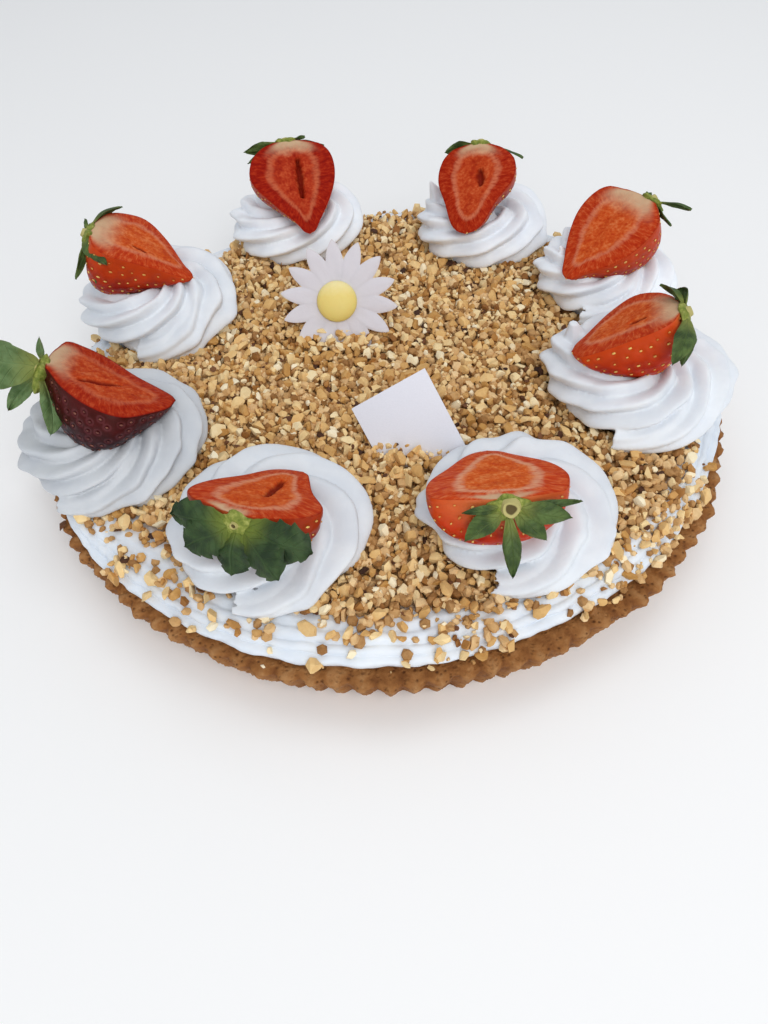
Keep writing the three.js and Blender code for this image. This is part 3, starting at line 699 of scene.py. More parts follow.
# Each cut face has its tip, its leafy end, the way it looks and its half-widths at five shares of its length.
# Depth is how far the half swells behind the face, of its half-width. Dark is how deep its red is, ripe that
# of its skin, halo how pale the line round its heart is, and crown how large the pale place by the leaves.
# A slit has its two ends in the face, its width and its depth.
STATIONS = (0.12, 0.35, 0.6, 0.83, 0.96)
BERRIES = [
    {
        "tip": (-28, 68, 46), "end": (-37, 109, 66), "face": (0.16, -0.39, 0.91), "depth": 0.85,
        "left": (4, 12, 19, 17, 11), "right": (5.5, 12.5, 17.5, 18, 14),
        "dark": 1.0, "ripe": 0.35, "halo": 0.55, "crown": 0.55, "slit": ((2.9, -9.7), (0.9, -28), 1.5, 2.6),
    },
    {
        "tip": (37, 62, 46), "end": (45.5, 97.5, 66), "face": (-0.29, -0.41, 0.86), "depth": 0.9,
        "left": (7, 11, 15.5, 15, 11), "right": (7, 11, 17, 16, 10),
        "dark": 0.8, "ripe": 0.45, "halo": 0.6, "crown": 0.5, "slit": ((2.2, -12.5), (3.5, -19), 1.8, 2.0),
    },
    {
        "tip": (72.5, 28, 45), "end": (105, 48, 65), "face": (-0.42, -0.19, 0.89), "depth": 1.15,
        "left": (7, 15, 21, 22, 18.5), "right": (4, 11.5, 14, 12.5, 7),
        "dark": 0.45, "ripe": 0.25, "halo": 0.45, "crown": 0.9, "slit": None,
    },
    {
        "tip": (65, -19, 48), "end": (95, -25, 68), "face": (-0.5, 0.26, 0.82), "depth": 1.35,
        "left": (7, 17, 22, 17, 10), "right": (7, 8.5, 9, 9, 7),
        "dark": 0.35, "ripe": 0.05, "halo": 0.5, "crown": 1.0, "slit": ((-2.1, -16), (-2.2, -11), 0.9, 1.4),
    },
    {
        "tip": (31.5, -57, 40.5), "end": (31.5, -92.5, 59), "face": (-0.02, 0.47, 0.88), "depth": 0.9,
        "left": (7, 16.5, 20, 18.5, 15.5), "right": (8, 14, 20.5, 22, 19),
        "dark": 0.1, "ripe": 0.05, "halo": 0.9, "crown": 0.15, "slit": None,
    },
    {
        "tip": (-27.5, -64, 42.5), "end": (-42, -94, 59.5), "face": (0.15, 0.43, 0.89), "depth": 0.9,
        "left": (4.5, 10, 18, 15, 8), "right": (9, 13.5, 19.5, 21, 16.5),
        "dark": 0.35, "ripe": 0.55, "halo": 0.75, "crown": 0.2, "slit": ((-0.2, -14), (1, -26), 1.3, 1.6),
    },
    {
        "tip": (-71.5, -30.5, 45), "end": (-109, -29.5, 62.5), "face": (0.41, 0.26, 0.87), "depth": 1.25,
        "left": (11, 20.5, 19.5, 12.5, 5), "right": (4.5, 9, 16, 19.5, 19),
        "dark": 0.75, "ripe": 1.0, "halo": 0.3, "crown": 0.75, "slit": ((-5, -11), (-1.6, -23), 1.2, 1.5),
    },
    {
        "tip": (-73, 37.5, 47.5), "end": (-106, 39, 69), "face": (0.55, 0.05, 0.84), "depth": 1.35,
        "left": (3.5, 6, 9.5, 12, 9.5), "right": (6, 17.5, 24.5, 21, 15),
        "dark": 0.35, "ripe": 0.22, "halo": 0.45, "crown": 1.0, "slit": ((1.9, -15), (1.4, -20), 0.8, 1.2),
    },
]
FACE_SHARE = 0.42  # the share of a berry's rows that lies in its cut face
FACE_STEPS = 160  # steps round the cut face
SEED_SPACING = 3.1


def berry_frame(tip, end, face):
    tip, end, face = Vector(tip), Vector(end), Vector(face)
    outward = (end - tip).normalized()
    up = (face - face.dot(outward) * outward).normalized()
    sideways = outward.cross(up)
    turn = Matrix((sideways, outward, up)).transposed().to_4x4()
    return (end - tip).length, Matrix.Translation(end) @ turn


def side_width(widths, along):
    return profile_at([(0, 0), (0.03, 0.5 * widths[0]), *zip(STATIONS, widths), (1, 0.6 * widths[-1])], along)


def face_outline(length, left, right):
    """Evenly spaced points round the cut face: up its right side, over the leafy end and down its left."""
    shares = [0.5 - 0.5 * math.cos(math.pi * k / 30) for k in range(31)]
    rising = [(side_width(right, share), (share - 1) * length) for share in shares]
    falling = [(-side_width(left, share), (share - 1) * length) for share in reversed(shares)]
    brow = [(mix(rising[-1][0], falling[0][0], k / 9), 0.7 * math.sin(math.pi * k / 9)) for k in range(1, 9)]
    points = np.array([*rising, *brow, *falling])
    reach = np.concatenate([[0], np.cumsum(np.linalg.norm(np.diff(points, axis=0), axis=1))])
    wanted = np.linspace(0, reach[-1], FACE_STEPS + 1)
    return np.stack([np.interp(wanted, reach, points[:, axis]) for axis in (0, 1)], 1), reach[-1]


def spread_out(places, spacing, seed):
    """Indices of places that keep a distance from each other."""
    draw = np.random.default_rng(seed)
    kept = []
    for index in draw.permutation(len(places)):
        if not kept or np.linalg.norm(places[kept] - places[index], axis=1).min() > spacing:
            kept.append(index)
    return kept


def slit_depth(slit, x, y):
    """How far the cut face sinks at a place, from 0 to 1."""
    if slit is None:
        return 0.0
    start, end, width, _ = slit
    step = Vector(end) - Vector(start)
    share = clamp((Vector((x, y)) - Vector(start)).dot(step) / step.length_squared)
    taper = width * (0.35 + 0.65 * math.sin(math.pi * mix(0.12, 0.88, share)))
    away = (Vector((x, y)) - Vector(start) - share * step).length
    away += 0.5 * wobble(96, x / 1.5, y / 1.5)
    return bell(max(0.0, away) / taper, 1)


def berry_mesh(number, berry):
    length, turn = berry_frame(berry["tip"], berry["end"], berry["face"])
    outline, reach = face_outline(length, berry["left"], berry["right"])
    steps = np.linspace(0, 1, 60)
    lefts = [side_width(berry["left"], share) for share in steps]
    rights = [side_width(berry["right"], share) for share in steps]

    def body(y):
        """Middle and half-width of the berry at a place along its axis."""
        share = 1 + y / length
        left, right = np.interp(share, steps, lefts), np.interp(share, steps, rights)
        return (right - left) / 2, (right + left) / 2

    def heart(y):
        """Where along the axis the middle of the cut face lies for a place on its edge."""
        return (clamp(mix(0.34, 0.76, 1 + y / length), 0.34, 0.76) - 1) * length

    def place(u, v):
        """A place on the cut face up to FACE_SHARE, and past it on the skin behind the face."""
        edge_x, edge_y = outline[round(u * FACE_STEPS)]
        core_y = heart(edge_y)
        core_x = body(core_y)[0]
        if v <= FACE_SHARE:
            out = (v / FACE_SHARE) ** 0.8
            x, y = mix(core_x, edge_x, out), mix(core_y, edge_y, out)
            crown = 0.7 * (1 - out ** 4) + 0.35 * wobble(90 + number, x / 5, y / 5) * (1 - out ** 6)
            sunk = berry["slit"][3] * slit_depth(berry["slit"], x, y) if berry["slit"] else 0
            return (x, y, crown - sunk)
        angle = (v - FACE_SHARE) / (1 - FACE_SHARE) * math.pi / 2
        swell = 0.28 * max(0.0, berry["depth"] - 0.8)
        x = mix(core_x, edge_x, math.cos(angle) + swell * math.sin(2 * angle))
        y = mix(core_y, edge_y, math.cos(angle) ** 0.9 + 0.3 * swell * math.sin(2 * angle))
        back = berry["depth"] * body(min(y, -0.04 * length))[1]
        lumps = 0.3 * wobble(85 + number, x / 7, y / 7, angle)
        return (x, y, -(back + lumps) * math.sin(angle) ** 0.92)

    bm = sheet_of(FACE_STEPS, 84, place, 1e-4)
    marks = bm.verts.layers.float_vector["shares"]
    names = ("depth", "along", "around", "slit", "dimple", "side", "cut")
    layers = {key: bm.verts.layers.float.new(key) for key in names}
    bm.normal_update()
    skin = [vert for vert in bm.verts if vert[marks][1] > FACE_SHARE + 0.03]
    places = np.array([vert.co for vert in skin])
    chosen = [skin[index] for index in spread_out(places, SEED_SPACING, number)]
    seeds = [(vert.co.copy(), vert.normal.copy()) for vert in chosen]
    tree = kdtree.KDTree(len(seeds))
    for index, (spot, _) in enumerate(seeds):
        tree.insert(spot, index)
    tree.balance()
    for vert in bm.verts:
        u, v, _ = vert[marks]
        x, y, _ = vert.co
        middle, half = body(y)
        near = bell(tree.find(vert.co)[2], 1.05) if v > FACE_SHARE else 0
        vert[layers["depth"]] = 1 - min(1, (v / FACE_SHARE) ** 0.8)
        vert[layers["along"]] = 1 + y / length
        vert[layers["around"]] = u * reach
        vert[layers["side"]] = abs(x - middle) / max(half, 1)
        vert[layers["slit"]] = slit_depth(berry["slit"], x, y) if v < FACE_SHARE else 0
        vert[layers["cut"]] = 1 - smoothstep(0, 0.4, (v - FACE_SHARE) / (1 - FACE_SHARE))
        vert[layers["dimple"]] = near
    for vert in skin:
        vert.co -= vert.normal * 0.55 * vert[layers["dimple"]]
    for item in bm.faces:
        middle = sum(vert[marks][1] for vert in item.verts) / len(item.verts)
        item.material_index = 0 if middle < FACE_SHARE else 1
    for index, (spot, normal) in enumerate(seeds):
        small = 0.82 + 0.22 * math.sin(9.7 * index)
        across = normal.cross(Vector((0, 1, 0))).normalized()
        along = across.cross(normal)
        turned = Matrix((across, along, normal)).transposed().to_4x4()
        size = Matrix.Diagonal((0.4 * small, 0.7 * small, 0.26, 1))
        matrix = Matrix.Translation(spot - 0.1 * normal) @ turned @ size
        made = bmesh.ops.create_icosphere(bm, subdivisions=1, radius=1, matrix=matrix)
        for item in {item for vert in made["verts"] for item in vert.link_faces}:
            item.material_index = 2
    bm.transform(turn)
    return bm


# Leaves: thin arched blades round a small hub on the leafy end

# For each berry, its leaves' tips as seen from the leafy end: sideways, outward, up. Then each leaf's width,
# how far it bows outward for its length, and its twist in degrees.
LEAVES = [
    [(-19, -2, -2, 6, 0, 30), (-18, -5, -5, 5, 0.1, 20), (9, 3, -1, 4, 0.1, 20), (17, -1, -3, 3, 0.1, 0)],
    [(-15, -2, -1, 6, 0.1, 30), (19, -5, -3.5, 6.5, 0.15, 20), (-4, 4, -3, 4, 0.2, 0)],
    [(15, 6.5, -4, 3.5, 0.1, 0), (14, -3, -4, 3.5, 0.05, 0), (-6, 5, -5, 5, 0.2, 0)],
    [
        (-12, -4, 5, 6, 0.3, 0), (26, -4, -3.5, 7, 0.2, 60), (20, -2.5, -9, 5, 0.15, 60),
        (-10, 0.5, 2, 6, 0.2, 60),
    ],
    [
        (-20, 1, -2, 3, 0.15, 0), (-17, 4, -5.5, 7, 0.2, 0), (-10, 4, -12, 6, 0.2, 0),
        (0, 6, -22, 5.5, 0.2, 0), (12.5, 2, -11.5, 7, 0.2, 0), (13, 2, -3, 3, 0.15, 0),
    ],
    [
        (20, 3, -3.5, 11, 0.2, 0), (14, 6, -11, 14, 0.2, 0), (-2, 6, -15.5, 13, 0.2, 0),
        (-16, 6, -13, 14, 0.2, 0), (-24, 3, -4, 14, 0.2, 0),
    ],
    [
        (-12, 21, 0.5, 17, 0.1, 0), (9, 5, 4, 2.5, 0.1, 80), (2, 14, -15, 6, 0.1, 0),
        (0, 9.5, -21, 6, 0.1, 90), (-18, -7, -15, 9, -0.25, 60),
    ],
    [
        (22, -6, 2, 5, 0.2, 0), (5, 4, 0, 3, 0.2, 0), (-15, -9, -2, 6.5, 0.3, -50),
        (-12, -7.5, -13, 4.5, 0, 40), (-13.5, -0.5, -14, 4, 0, 40),
    ],
]
TOOTHED = 6  # the berry whose leaves have toothed edges
# radius of a stalk and half-sizes of a hub: sideways, outward and down
STALK, STALKS = 1.9, {5: 2.7, 6: 1.1, 7: 2.6}
HUB, HUBS = (5.5, 1.6, 3.6), {7: (6.2, 2.4, 5.6)}
# half-width of a leaf along it, as a share of its widest
BLADE = [(0, 0.25), (0.15, 0.5), (0.45, 1.0), (0.75, 0.72), (0.92, 0.3), (1.0, 0.05)]
BROAD_BLADE = [(0, 0.25), (0.15, 0.55), (0.45, 0.95), (0.65, 1.0), (0.85, 0.75), (0.95, 0.4), (1.0, 0.08)]
LEAF_THICKNESS = 0.5


def leaf_blade(number, index, leaf):
    sideways, outward, up, width, arch, twist = leaf
    tip = Vector((sideways, outward, up))
    root = Vector((0.12 * sideways, 1.2, 0.12 * up - 1.5))
    flat = Vector((up, 0, -sideways)).normalized()
    across = (Matrix.Rotation(math.radians(twist), 3, tip - root) @ flat).normalized()
    bow = root.lerp(tip, 0.5) + Vector((0, arch * (tip - root).length, 0))
    shape = BROAD_BLADE if width > 10 else BLADE
    toothed = number == TOOTHED
    seed = 100 + 10 * number + index

    def place(u, v):
        """A place on the blade: from root to tip, across its upper face and back under it."""
        face, side = (1, 4 * v - 1) if v < 0.5 else (-1, 3 - 4 * v)
        spine = root * (1 - u) ** 2 + bow * 2 * u * (1 - u) + tip * u ** 2
        ahead = (bow - root) * (1 - u) + (tip - bow) * u
        normal = across.cross(ahead).normalized()
        ends = min(1.0, 16 * u, 16 * (1 - u))
        saw = 1 - (0.24 if toothed else 0.05) * ((4.6 * u) % 1) * smoothstep(0.1, 0.35, u)
        half = width / 2 * profile_at(shape, u) * mix(1, saw, abs(side) ** 2) * ends
        lift = 0.16 * width * abs(side) ** 1.3 * profile_at(shape, u) + 1.1 * wobble(seed, 2 * u, 1.5 * side)
        lift += 0.25 * math.cos(4.6 * TURN * u) * abs(side) * toothed
        lean = 0.12 * width * wobble(seed + 5, 1.5 * u)
        thick = LEAF_THICKNESS / 2 * ends * (1 - side ** 6)
        return spine + across * (half * side + lean) + normal * (lift * smoothstep(0, 0.25, u) + face * thick)

    bm = sheet_of(32, 28, place)
    marks = bm.verts.layers.float_vector["shares"]
    length = bm.verts.layers.float.new("length")
    side = bm.verts.layers.float.new("side")
    for vert in bm.verts:
        u, v, _ = vert[marks]
        vert[length] = u
        vert[side] = 4 * v - 1 if v < 0.5 else 3 - 4 * v
    return bm


def hub_mesh(number):
    """The knob that carries the leaves, with the stump of the stalk."""
    bm = bmesh.new()
    bmesh.ops.create_icosphere(bm, subdivisions=4, radius=1)
    stalk = bm.verts.layers.float.new("stalk")
    across, out, down = HUBS.get(number, HUB)
    for vert in bm.verts:
        x, y, z = vert.co
        lumps = 1 + 0.25 * wobble(200 + number, 2 * x, 2 * y, 2 * z)
        rays = 1 + 0.12 * math.cos(5 * math.atan2(z, x) + number)
        vert.co = (x * across * lumps * rays, y * out * lumps + 1.0, z * down * lumps * rays + 1 - down)
    wide = STALKS.get(number, STALK)
    level = -2.4
    matrix = Matrix.Translation((0, out + 1.0, level)) @ Matrix.Rotation(-math.pi / 2, 4, "X")
    made = bmesh.ops.create_cone(
        bm, cap_ends=True, segments=28, radius1=1.15 * wide, radius2=0.8 * wide, depth=1.8, matrix=matrix
    )
    for vert in made["verts"]:
        swell = 1 + 0.4 * wobble(220 + number, 0.4 * vert.co.x, 0.4 * vert.co.z)
        vert.co.x *= swell
        vert.co.z = (vert.co.z - level) * swell + level
    touched = {item for vert in made["verts"] for item in vert.link_faces}
    ends = [item for item in touched if len(item.verts) > 4]
    top = max(ends, key=lambda item: item.calc_center_median().y)
    bmesh.ops.inset_individual(bm, faces=[top], thickness=0.42 * wide)
    for vert in made["verts"]:
        vert[stalk] = 0.6
    for vert in top.verts:
        vert.co.y -= 0.5
        vert[stalk] = 1.0
    return bm


def joined(parts):
    """Several bmeshes as one, each with the same layers."""
    whole = bpy.data.meshes.new("whole")
    result = bmesh.new()
    for part in parts:
        part.to_mesh(whole)
        part.free()
        result.from_mesh(whole)
    bpy.data.meshes.remove(whole)
    return result


# Daisy: pointed wafer petals round a domed heart

DAISY_PLACE, DAISY_LEAN, DAISY_SPIN = (-16.1, 29, 40), math.radians(48), math.radians(-4)
PETALS, DAISY_RADIUS, DAISY_VALLEY, DAISY_THICKNESS = 14, 23.2, 15.6, 0.7
HEART_SHIFT = Vector((-0.9, -0.6, 0))
daisy_turn = Matrix.Translation(DAISY_PLACE) @ Matrix.Rotation(DAISY_LEAN, 4, "X")


def daisy_mesh():
    def place(u, v):
        """A place on the star: round it, out over its upper face and back under it."""
        face, share = (1, 2 * v) if v < 0.5 else (-1, 2 - 2 * v)
        across = abs(u * PETALS % 1 - 0.5) * 2
        edge = mix(DAISY_VALLEY, DAISY_RADIUS, 1 - across ** 1.25)
        edge *= 1 + 0.05 * wobble(300, math.floor(u * PETALS) % PETALS)
        angle = TURN * (u + 0.5 / PETALS) + DAISY_SPIN
        beyond = smoothstep(0.4, 1.0, share)
        waves = 1.1 * wobble(301, 2 * math.cos(angle), 2 * math.sin(angle))
        lift = beyond * (0.35 * (1 - across) - 0.1 + waves)
        thick = DAISY_THICKNESS / 2 * (1 - share ** 8)
        return (edge * share * math.sin(angle), edge * share * math.cos(angle), lift + face * thick)

    bm = sheet_of(PETALS * 16, 48, place)
    marks = bm.verts.layers.float_vector["shares"]
    reach = bm.verts.layers.float.new("reach")
    crease = bm.verts.layers.float.new("crease")
    for vert in bm.verts:
        u, v, _ = vert[marks]
        share = 1 - abs(1 - 2 * v)
        vert[reach] = share
        # crease is high in the valleys between the petals, where the finish paints shade
        vert[crease] = bell(abs(u * PETALS % 1 - 0.5) * 2 - 1, 0.35) * share
    bm.transform(daisy_turn)
    return bm


def daisy_heart_mesh():
    dome = [(7.8, 0.6), (7.9, 1.2), (7.5, 2.0), (6.5, 2.7), (4.8, 3.3), (2.5, 3.7), (0.02, 3.8)]
    bm = ring_of([*dome, (0.02, 0.3), (7.5, 0.3)], 72)
    drop = bm.verts.layers.float.new("drop")
    for vert in bm.verts:
        vert[drop] = clamp(0.5 - vert.co.y / 15.6)
        vert.co.z += 0.08 * wobble(310, vert.co.x, vert.co.y)
    bmesh.ops.remove_doubles(bm, verts=bm.verts, dist=0.05)
    bm.transform(daisy_turn @ Matrix.Translation(HEART_SHIFT))
    return bm


# Card: a plain square that leans in the nuts

CARD_CORNER, CARD_ALONG = Vector((-12.1, -33.1, 39.5)), Vector((25.5, 5.1, 12))
CARD_DOWN = Vector((13.8, -21.5, -22.5))
CARD_THICK = 0.5
card_across = CARD_ALONG.normalized()
card_down = CARD_DOWN - CARD_DOWN.dot(card_across) * card_across
card_normal = card_down.cross(CARD_ALONG).normalized()


def card_mesh():
    bm = bmesh.new()
    bmesh.ops.create_cube(bm, size=1)
    middle = CARD_CORNER + CARD_ALONG / 2 + card_down / 2
    turn = Matrix((card_across, -card_down.normalized(), card_normal)).transposed().to_4x4()
    size = Matrix.Diagonal((CARD_ALONG.length, card_down.length, CARD_THICK, 1))
    bm.transform(Matrix.Translation(middle) @ turn @ size)
    bmesh.ops.bevel(
        bm, geom=bm.edges[:], offset=0.12, affect="EDGES", segments=2, profile=0.5, material=-1
    )
    return bm


# Chopped nuts: joined copies of a few broken grains, dropped one by one on what lies below

# the heights on which grains rest: size of a cell, half-width of the field, and cells along it
CELL = 0.5
HALF_FIELD = 130.0
FIELD = int(2 * HALF_FIELD / CELL)
NUTS_END = 125.5  # no grain lies farther from the middle
NUTS_BELOW = 7  # how far they reach in under the edge of a rosette
NUT_TOP = 29.4
CARD_FOOT, DAISY_FOOT = (6, -49), (-17, 16)


def grain_shapes(count, seed, cuts):
    """Broken grains with flat faces, about one unit across."""
    draw = np.random.default_rng(seed)
    shapes = []
    for _ in range(count):
        bm = bmesh.new()
        bmesh.ops.create_icosphere(bm, subdivisions=1, radius=0.6)
        for _ in range(cuts):
            normal = draw.normal(size=3)
            normal /= np.linalg.norm(normal)
            geometry = [*bm.verts, *bm.edges, *bm.faces]
            spot = normal * draw.uniform(0.18, 0.42)
            cut = bmesh.ops.bisect_plane(bm, geom=geometry, plane_co=spot, plane_no=normal, clear_outer=True)
            rim = [item for item in cut["geom_cut"] if isinstance(item, bmesh.types.BMEdge)]
            bmesh.ops.holes_fill(bm, edges=rim)
            bmesh.ops.dissolve_degenerate(bm, edges=bm.edges, dist=0.04)
        bmesh.ops.triangulate(bm, faces=bm.faces)
        bmesh.ops.recalc_face_normals(bm, faces=bm.faces)
        bm.verts.index_update()
        points = np.array([vert.co for vert in bm.verts])
        faces = np.array([[vert.index for vert in item.verts] for item in bm.faces])
        shapes.append((points - points.mean(axis=0), faces))
        bm.free()
    return shapes


def cream_field():
    """Height of the cream in each cell of the field, and its distance from the middle of the round."""
    axis = (np.arange(FIELD) + 0.5) * CELL - HALF_FIELD
    x, y = np.meshgrid(axis, axis, indexing="ij")
    angle = np.arctan2(y, x)
    radius = np.hypot(x, y)
    radius -= OVAL * np.cos(2 * (angle - OVAL_AXIS)) * np.clip((radius - 100) / 12, 0, 1)
    known = np.linspace(90, 126, 145)
    heights = np.array([cream_height(r) for r in known])
    field = np.interp(radius, known, heights)
    field[radius > 124] = 19.0
    return field, radius


def wanted_nuts(x, y, radius):
    """How likely a grain stays where it falls."""
    for sx, sy, size, *_ in SWIRLS:
        if math.hypot(x - sx, y - sy) < size - NUTS_BELOW:
            return 0.0
    angle = math.atan2(y, x)
    edge = nut_edge(angle)
    if radius < edge - 4:
        return 1.0
    if radius < edge + 1:
        return mix(1.0, 0.3, (radius - edge + 4) / 5)
    if radius > NUTS_END:
        return 0.0
    patch = 0.5 + 0.5 * wobble(400, x / 9, y / 9)
    loose = 0.05 + 0.4 * smoothstep(0.5, 0.7, patch)
    facing = mix(0.5, 1, smoothstep(0.2, 0.9, -math.sin(angle)))
    loose *= facing * (1 - 0.75 * smoothstep(116.5, 119.5, radius))
    return loose + 0.6 * near_side(angle, -79, 0.09) + 0.4 * near_side(angle, -46, 0.24)


def nut_ceiling(x, y, radius):
    """How high the nuts may pile up: a little more at the foot of the card and of the daisy."""
    pile = 2.6 * bell(math.dist((x, y), CARD_FOOT), 13) + 2.2 * bell(math.dist((x, y), DAISY_FOOT), 13)
    return (NUT_TOP if radius < 110 else cream_height(radius) + 2.6) + pile


def drop_nuts(kinds, tries, seed, field, radii):
    """Places for grains: each rests on the field, which then rises by it."""
    draw = np.random.default_rng(seed)
    names = list(kinds)
    chances = np.array([kinds[name]["share"] for name in names])
    dropped = {name: [] for name in names}
    for _ in range(tries):
        x, y = draw.uniform(-126, 126, 2)
        i, j = int((x + HALF_FIELD) / CELL), int((y + HALF_FIELD) / CELL)
        radius = radii[i, j]
        name = names[draw.choice(len(names), p=chances / chances.sum())]
        kind = kinds[name]
        low, high = kind["size"]
        size = mix(low, high, draw.uniform() ** 1.4)
        stays = draw.uniform()
        forms = draw.uniform(0.8, 1.15, 3)
        tint = draw.uniform()
        if radius > NUTS_END or stays > wanted_nuts(x, y, radius):
            continue
        halves = size / 2 * np.array(kind["form"]) * forms
        reach = int(max(1, halves[:2].mean() / CELL))
        window = field[i - reach:i + reach + 1, j - reach:j + reach + 1]
        offsets = np.arange(-reach, reach + 1) * CELL
        distance = np.hypot(*np.meshgrid(offsets, offsets, indexing="ij")) / (halves[:2].mean() + 1e-6)
        inside = distance <= 1
        below = window[inside]
        rest = 0.7 * below.mean() + 0.3 * below.max()
        if rest + halves[2] * 0.6 > nut_ceiling(x, y, radius):
            continue
        centre = rest + halves[2] * kind["sit"]
        top = centre + halves[2] * np.sqrt(np.clip(1 - distance ** 2, 0, 1)) * 0.8
        window[inside] = np.maximum(window[inside], top[inside])
        dropped[name].append((x, y, centre, *halves, tint))
    return dropped


def scatter_mesh(name, places, shapes, tilt, seed):
    """One mesh of all the grains of a kind."""
    draw = np.random.default_rng(seed)
    points, faces, tints, start = [], [], [], 0
    for x, y, z, a, b, c, tint in places:
        shape_points, shape_faces = shapes[draw.integers(len(shapes))]
        lean = draw.normal(size=2) * tilt
        spin = draw.uniform(0, TURN)
        tip = Matrix.Rotation(lean[0], 3, "X") @ Matrix.Rotation(lean[1], 3, "Y")
        turn = tip @ Matrix.Rotation(spin, 3, "Z")
        local = shape_points * (2 * a, 2 * b, 2 * c)
        points.append(local @ np.array(turn).T + (x, y, z))
        faces.append(shape_faces + start)
        tints.append(np.full(len(shape_points), tint))
        start += len(shape_points)
    points, faces, tints = np.concatenate(points), np.concatenate(faces), np.concatenate(tints)
    mesh = bpy.data.meshes.new(name)
    mesh.vertices.add(len(points))
    mesh.vertices.foreach_set("co", points.ravel())
    mesh.loops.add(faces.size)
    mesh.loops.foreach_set("vertex_index", faces.ravel())
    mesh.polygons.add(len(faces))
    mesh.polygons.foreach_set("loop_start", np.arange(0, faces.size, 3))
    mesh.update(calc_edges=True)
    attribute(mesh, "tint", tints)
    return mesh


# for each kind of grain: its share, size and proportions, how high it sits on what lies below, how far it
# tilts, its shapes, and its colours from dark to light
UNDER_NUTS = {
    "nuts_under": {
        "share": 1, "size": (2.2, 4.2), "form": (1.0, 0.86, 0.74), "sit": 0.35, "tilt": 0.9,
        "shapes": "plain", "colours": ((146, 100, 52), (206, 162, 106), (238, 206, 156)),
    },
}
NUT_KINDS = {
    "nuts_golden": {
        "share": 0.42, "size": (2.8, 7.2), "form": (1.0, 0.8, 0.62), "sit": 0.45, "tilt": 0.9,
        "shapes": "broken", "colours": ((190, 140, 74), (228, 186, 122), (245, 216, 160)),
    },
    "nuts_pale": {
        "share": 0.26, "size": (2.3, 6.2), "form": (1.0, 0.76, 0.58), "sit": 0.5, "tilt": 0.9,
        "shapes": "broken", "colours": ((224, 190, 134), (242, 218, 168), (250, 238, 208)),
    },
    "nuts_toasted": {
        "share": 0.12, "size": (2.2, 5.4), "form": (1.0, 0.78, 0.6), "sit": 0.4, "tilt": 0.9,
        "shapes": "broken", "colours": ((134, 86, 40), (184, 130, 68), (212, 164, 98)),
    },
    "nut_skins": {
        "share": 0.05, "size": (1.8, 4.2), "form": (1.0, 0.75, 0.35), "sit": 0.6, "tilt": 0.35,
        "shapes": "broken", "colours": ((52, 28, 18), (88, 52, 30), (130, 84, 50)),
    },
    "nut_crumbs": {
        "share": 0.36, "size": (0.9, 2.2), "form": (1.0, 0.85, 0.7), "sit": 0.6, "tilt": 0.9,
        "shapes": "fine", "colours": ((176, 126, 70), (222, 182, 122), (246, 224, 180)),
    },
}
UNDER_TRIES, NUT_TRIES = 15000, 32000

# Making the pieces

finished("pastry_case", crust_mesh(), [crust_finish()], ["crust"])
bed_cream = cream_finish("cream", (srgb(221, 229, 239), srgb(231, 237, 244)))
finished("cream_bed", cream_mesh(), [bed_cream], ["cream_layer"])

field, radii = cream_field()
share = 1
shapes = {"broken": grain_shapes(16, 7, 7), "fine": grain_shapes(8, 8, 4), "plain": grain_shapes(8, 8, 1)}
dropped = drop_nuts(UNDER_NUTS, int(UNDER_TRIES * share), 4, field, radii)
dropped |= drop_nuts(NUT_KINDS, int(NUT_TRIES * share), 5, field, radii)
for name, kind in (UNDER_NUTS | NUT_KINDS).items():
    mesh = scatter_mesh(name, dropped[name], shapes[kind["shapes"]], kind["tilt"], 6)
    finished(name, mesh, [nut_finish(name, kind["colours"])], ["cream_layer"], 38)

for number, swirl in enumerate(SWIRLS, 1):
    # each rosette's cream is a lighter or darker copy by its factor: painted light and shade
    light = CREAM_PAINTED_LIGHT_AND_SHADE[number - 1]
    tints = [srgb(*[light * value for value in tint]) for tint in ((231, 236, 243), (240, 244, 249))]
    cream = cream_finish(f"whipped_cream_painted_light_and_shade_{number}", tints)
    finished(f"rosette_{number}", swirl_mesh(number, *swirl), [cream], [f"swirl_{number}"])

gold_seeds = seed_finish("gold_seeds", srgb(206, 132, 56), srgb(240, 204, 112))
brown_seeds = seed_finish("brown_seeds", srgb(86, 30, 30), srgb(140, 84, 66))
for number, berry in enumerate(BERRIES, 1):
    seeds = brown_seeds if berry["ripe"] > 0.8 else gold_seeds
    finishes = [flesh_finish(f"flesh_{number}", berry), skin_finish(f"skin_{number}", berry), seeds]
    mesh = berry_mesh(number, berry)
    finished(f"half_berry_{number}", mesh, finishes, [f"strawberry_{number}"], 55)

green = leaf_finish("leaf_green", srgb(46, 66, 28), srgb(86, 108, 52), srgb(130, 138, 66))
dark_green = leaf_finish("leaf_dark", srgb(30, 49, 25), srgb(56, 79, 40), srgb(108, 122, 42))
grey_green = leaf_finish("leaf_underside", srgb(78, 104, 58), srgb(112, 138, 90), srgb(140, 148, 78))
leaf_finishes = [green, green, green, green, green, dark_green, grey_green, green]
hub = hub_finish()
for number, leaves in enumerate(LEAVES, 1):
    berry = BERRIES[number - 1]
    length, turn = berry_frame(berry["tip"], berry["end"], berry["face"])
    blades = joined([leaf_blade(number, index, leaf) for index, leaf in enumerate(leaves)])
    knob = hub_mesh(number)
    for item in knob.faces:
        item.material_index = 1
    calyx = joined([blades, knob])
    calyx.transform(turn)
    finishes = [leaf_finishes[number - 1], hub]
    finished(f"calyx_{number}", calyx, finishes, [f"leaves_{number}"], 60)

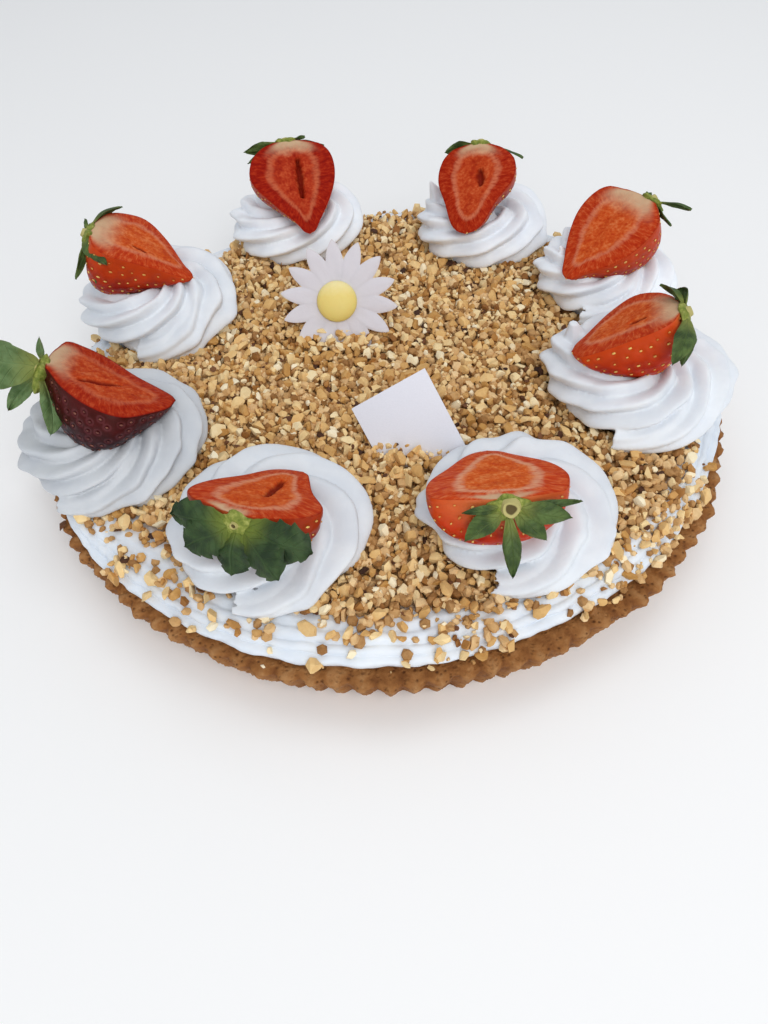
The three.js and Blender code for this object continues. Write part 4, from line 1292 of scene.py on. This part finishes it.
petals = wafer_finish("wafer_petals", srgb(213, 209, 215), srgb(194, 191, 197))
finished("daisy_petals", daisy_mesh(), [petals], ["flower_petals"], 50)
finished("daisy_heart", daisy_heart_mesh(), [heart_finish()], ["flower_heart"], 60)
finished("place_card", card_mesh(), [card_finish()], ["card"], 40)

# Stage, light and camera


def stage_finish():
    paint = Paint("studio_floor", Specular_IOR_Level=0.1)
    tone = paint.spots(paint.place(), 400, 2)
    return paint.end(paint.blend(tone, (0.95, 0.95, 0.95, 1), (0.97, 0.97, 0.97, 1)), 0.9)


bm = bmesh.new()
bmesh.ops.create_grid(bm, x_segments=1, y_segments=1, size=3)
mesh = bpy.data.meshes.new("floor")
bm.to_mesh(mesh)
bm.free()
mesh.materials.append(stage_finish())
floor = object_of("floor", mesh)

world = bpy.data.worlds.new("studio")
world.use_nodes = True
world.node_tree.nodes["Background"].inputs["Color"].default_value = (0.93, 0.96, 1.0, 1)
world.node_tree.nodes["Background"].inputs["Strength"].default_value = 0.55
bpy.context.scene.world = world


def softbox(name, place, aim, size, power, colour):
    light = bpy.data.lights.new(name, "AREA")
    light.shape = "SQUARE"
    light.size = size
    light.energy = power
    light.color = colour
    lamp = object_of(name, light)
    toward = Vector(aim) - Vector(place)
    lamp.matrix_world = Matrix.Translation(place) @ toward.to_track_quat("-Z", "Y").to_matrix().to_4x4()


softbox("key_light", (0.3, -0.9, 1.25), (0, 0, 0), 0.75, 8.2, (1.0, 0.99, 0.97))
softbox("top_light", (0.2, 0.35, 1.35), (0, 0, 0), 0.8, 2.6, (0.96, 0.98, 1.0))
softbox("front_light", (0.1, -1.3, 0.5), (0, 0, 0), 0.8, 3.0, (1.0, 0.99, 0.98))

ELEVATION, ROLL, LENS = math.radians(50.9), math.radians(-2.916), 26.5
eye = Vector((-2.73, -224.46, 217.81)) * MM
forward = Vector((0, math.cos(ELEVATION), -math.sin(ELEVATION)))
level_up = Vector((0, math.sin(ELEVATION), math.cos(ELEVATION)))
level_right = Vector((1, 0, 0))
right = math.cos(ROLL) * level_right + math.sin(ROLL) * level_up
upward = math.cos(ROLL) * level_up - math.sin(ROLL) * level_right
camera_data = bpy.data.cameras.new("camera")
camera_data.lens = LENS
camera_data.clip_start = 0.01
camera = object_of("camera", camera_data)
camera.matrix_world = Matrix.Translation(eye) @ Matrix((right, upward, -forward)).transposed().to_4x4()
bpy.context.scene.camera = camera
bpy.context.scene.view_settings.view_transform = "Standard"
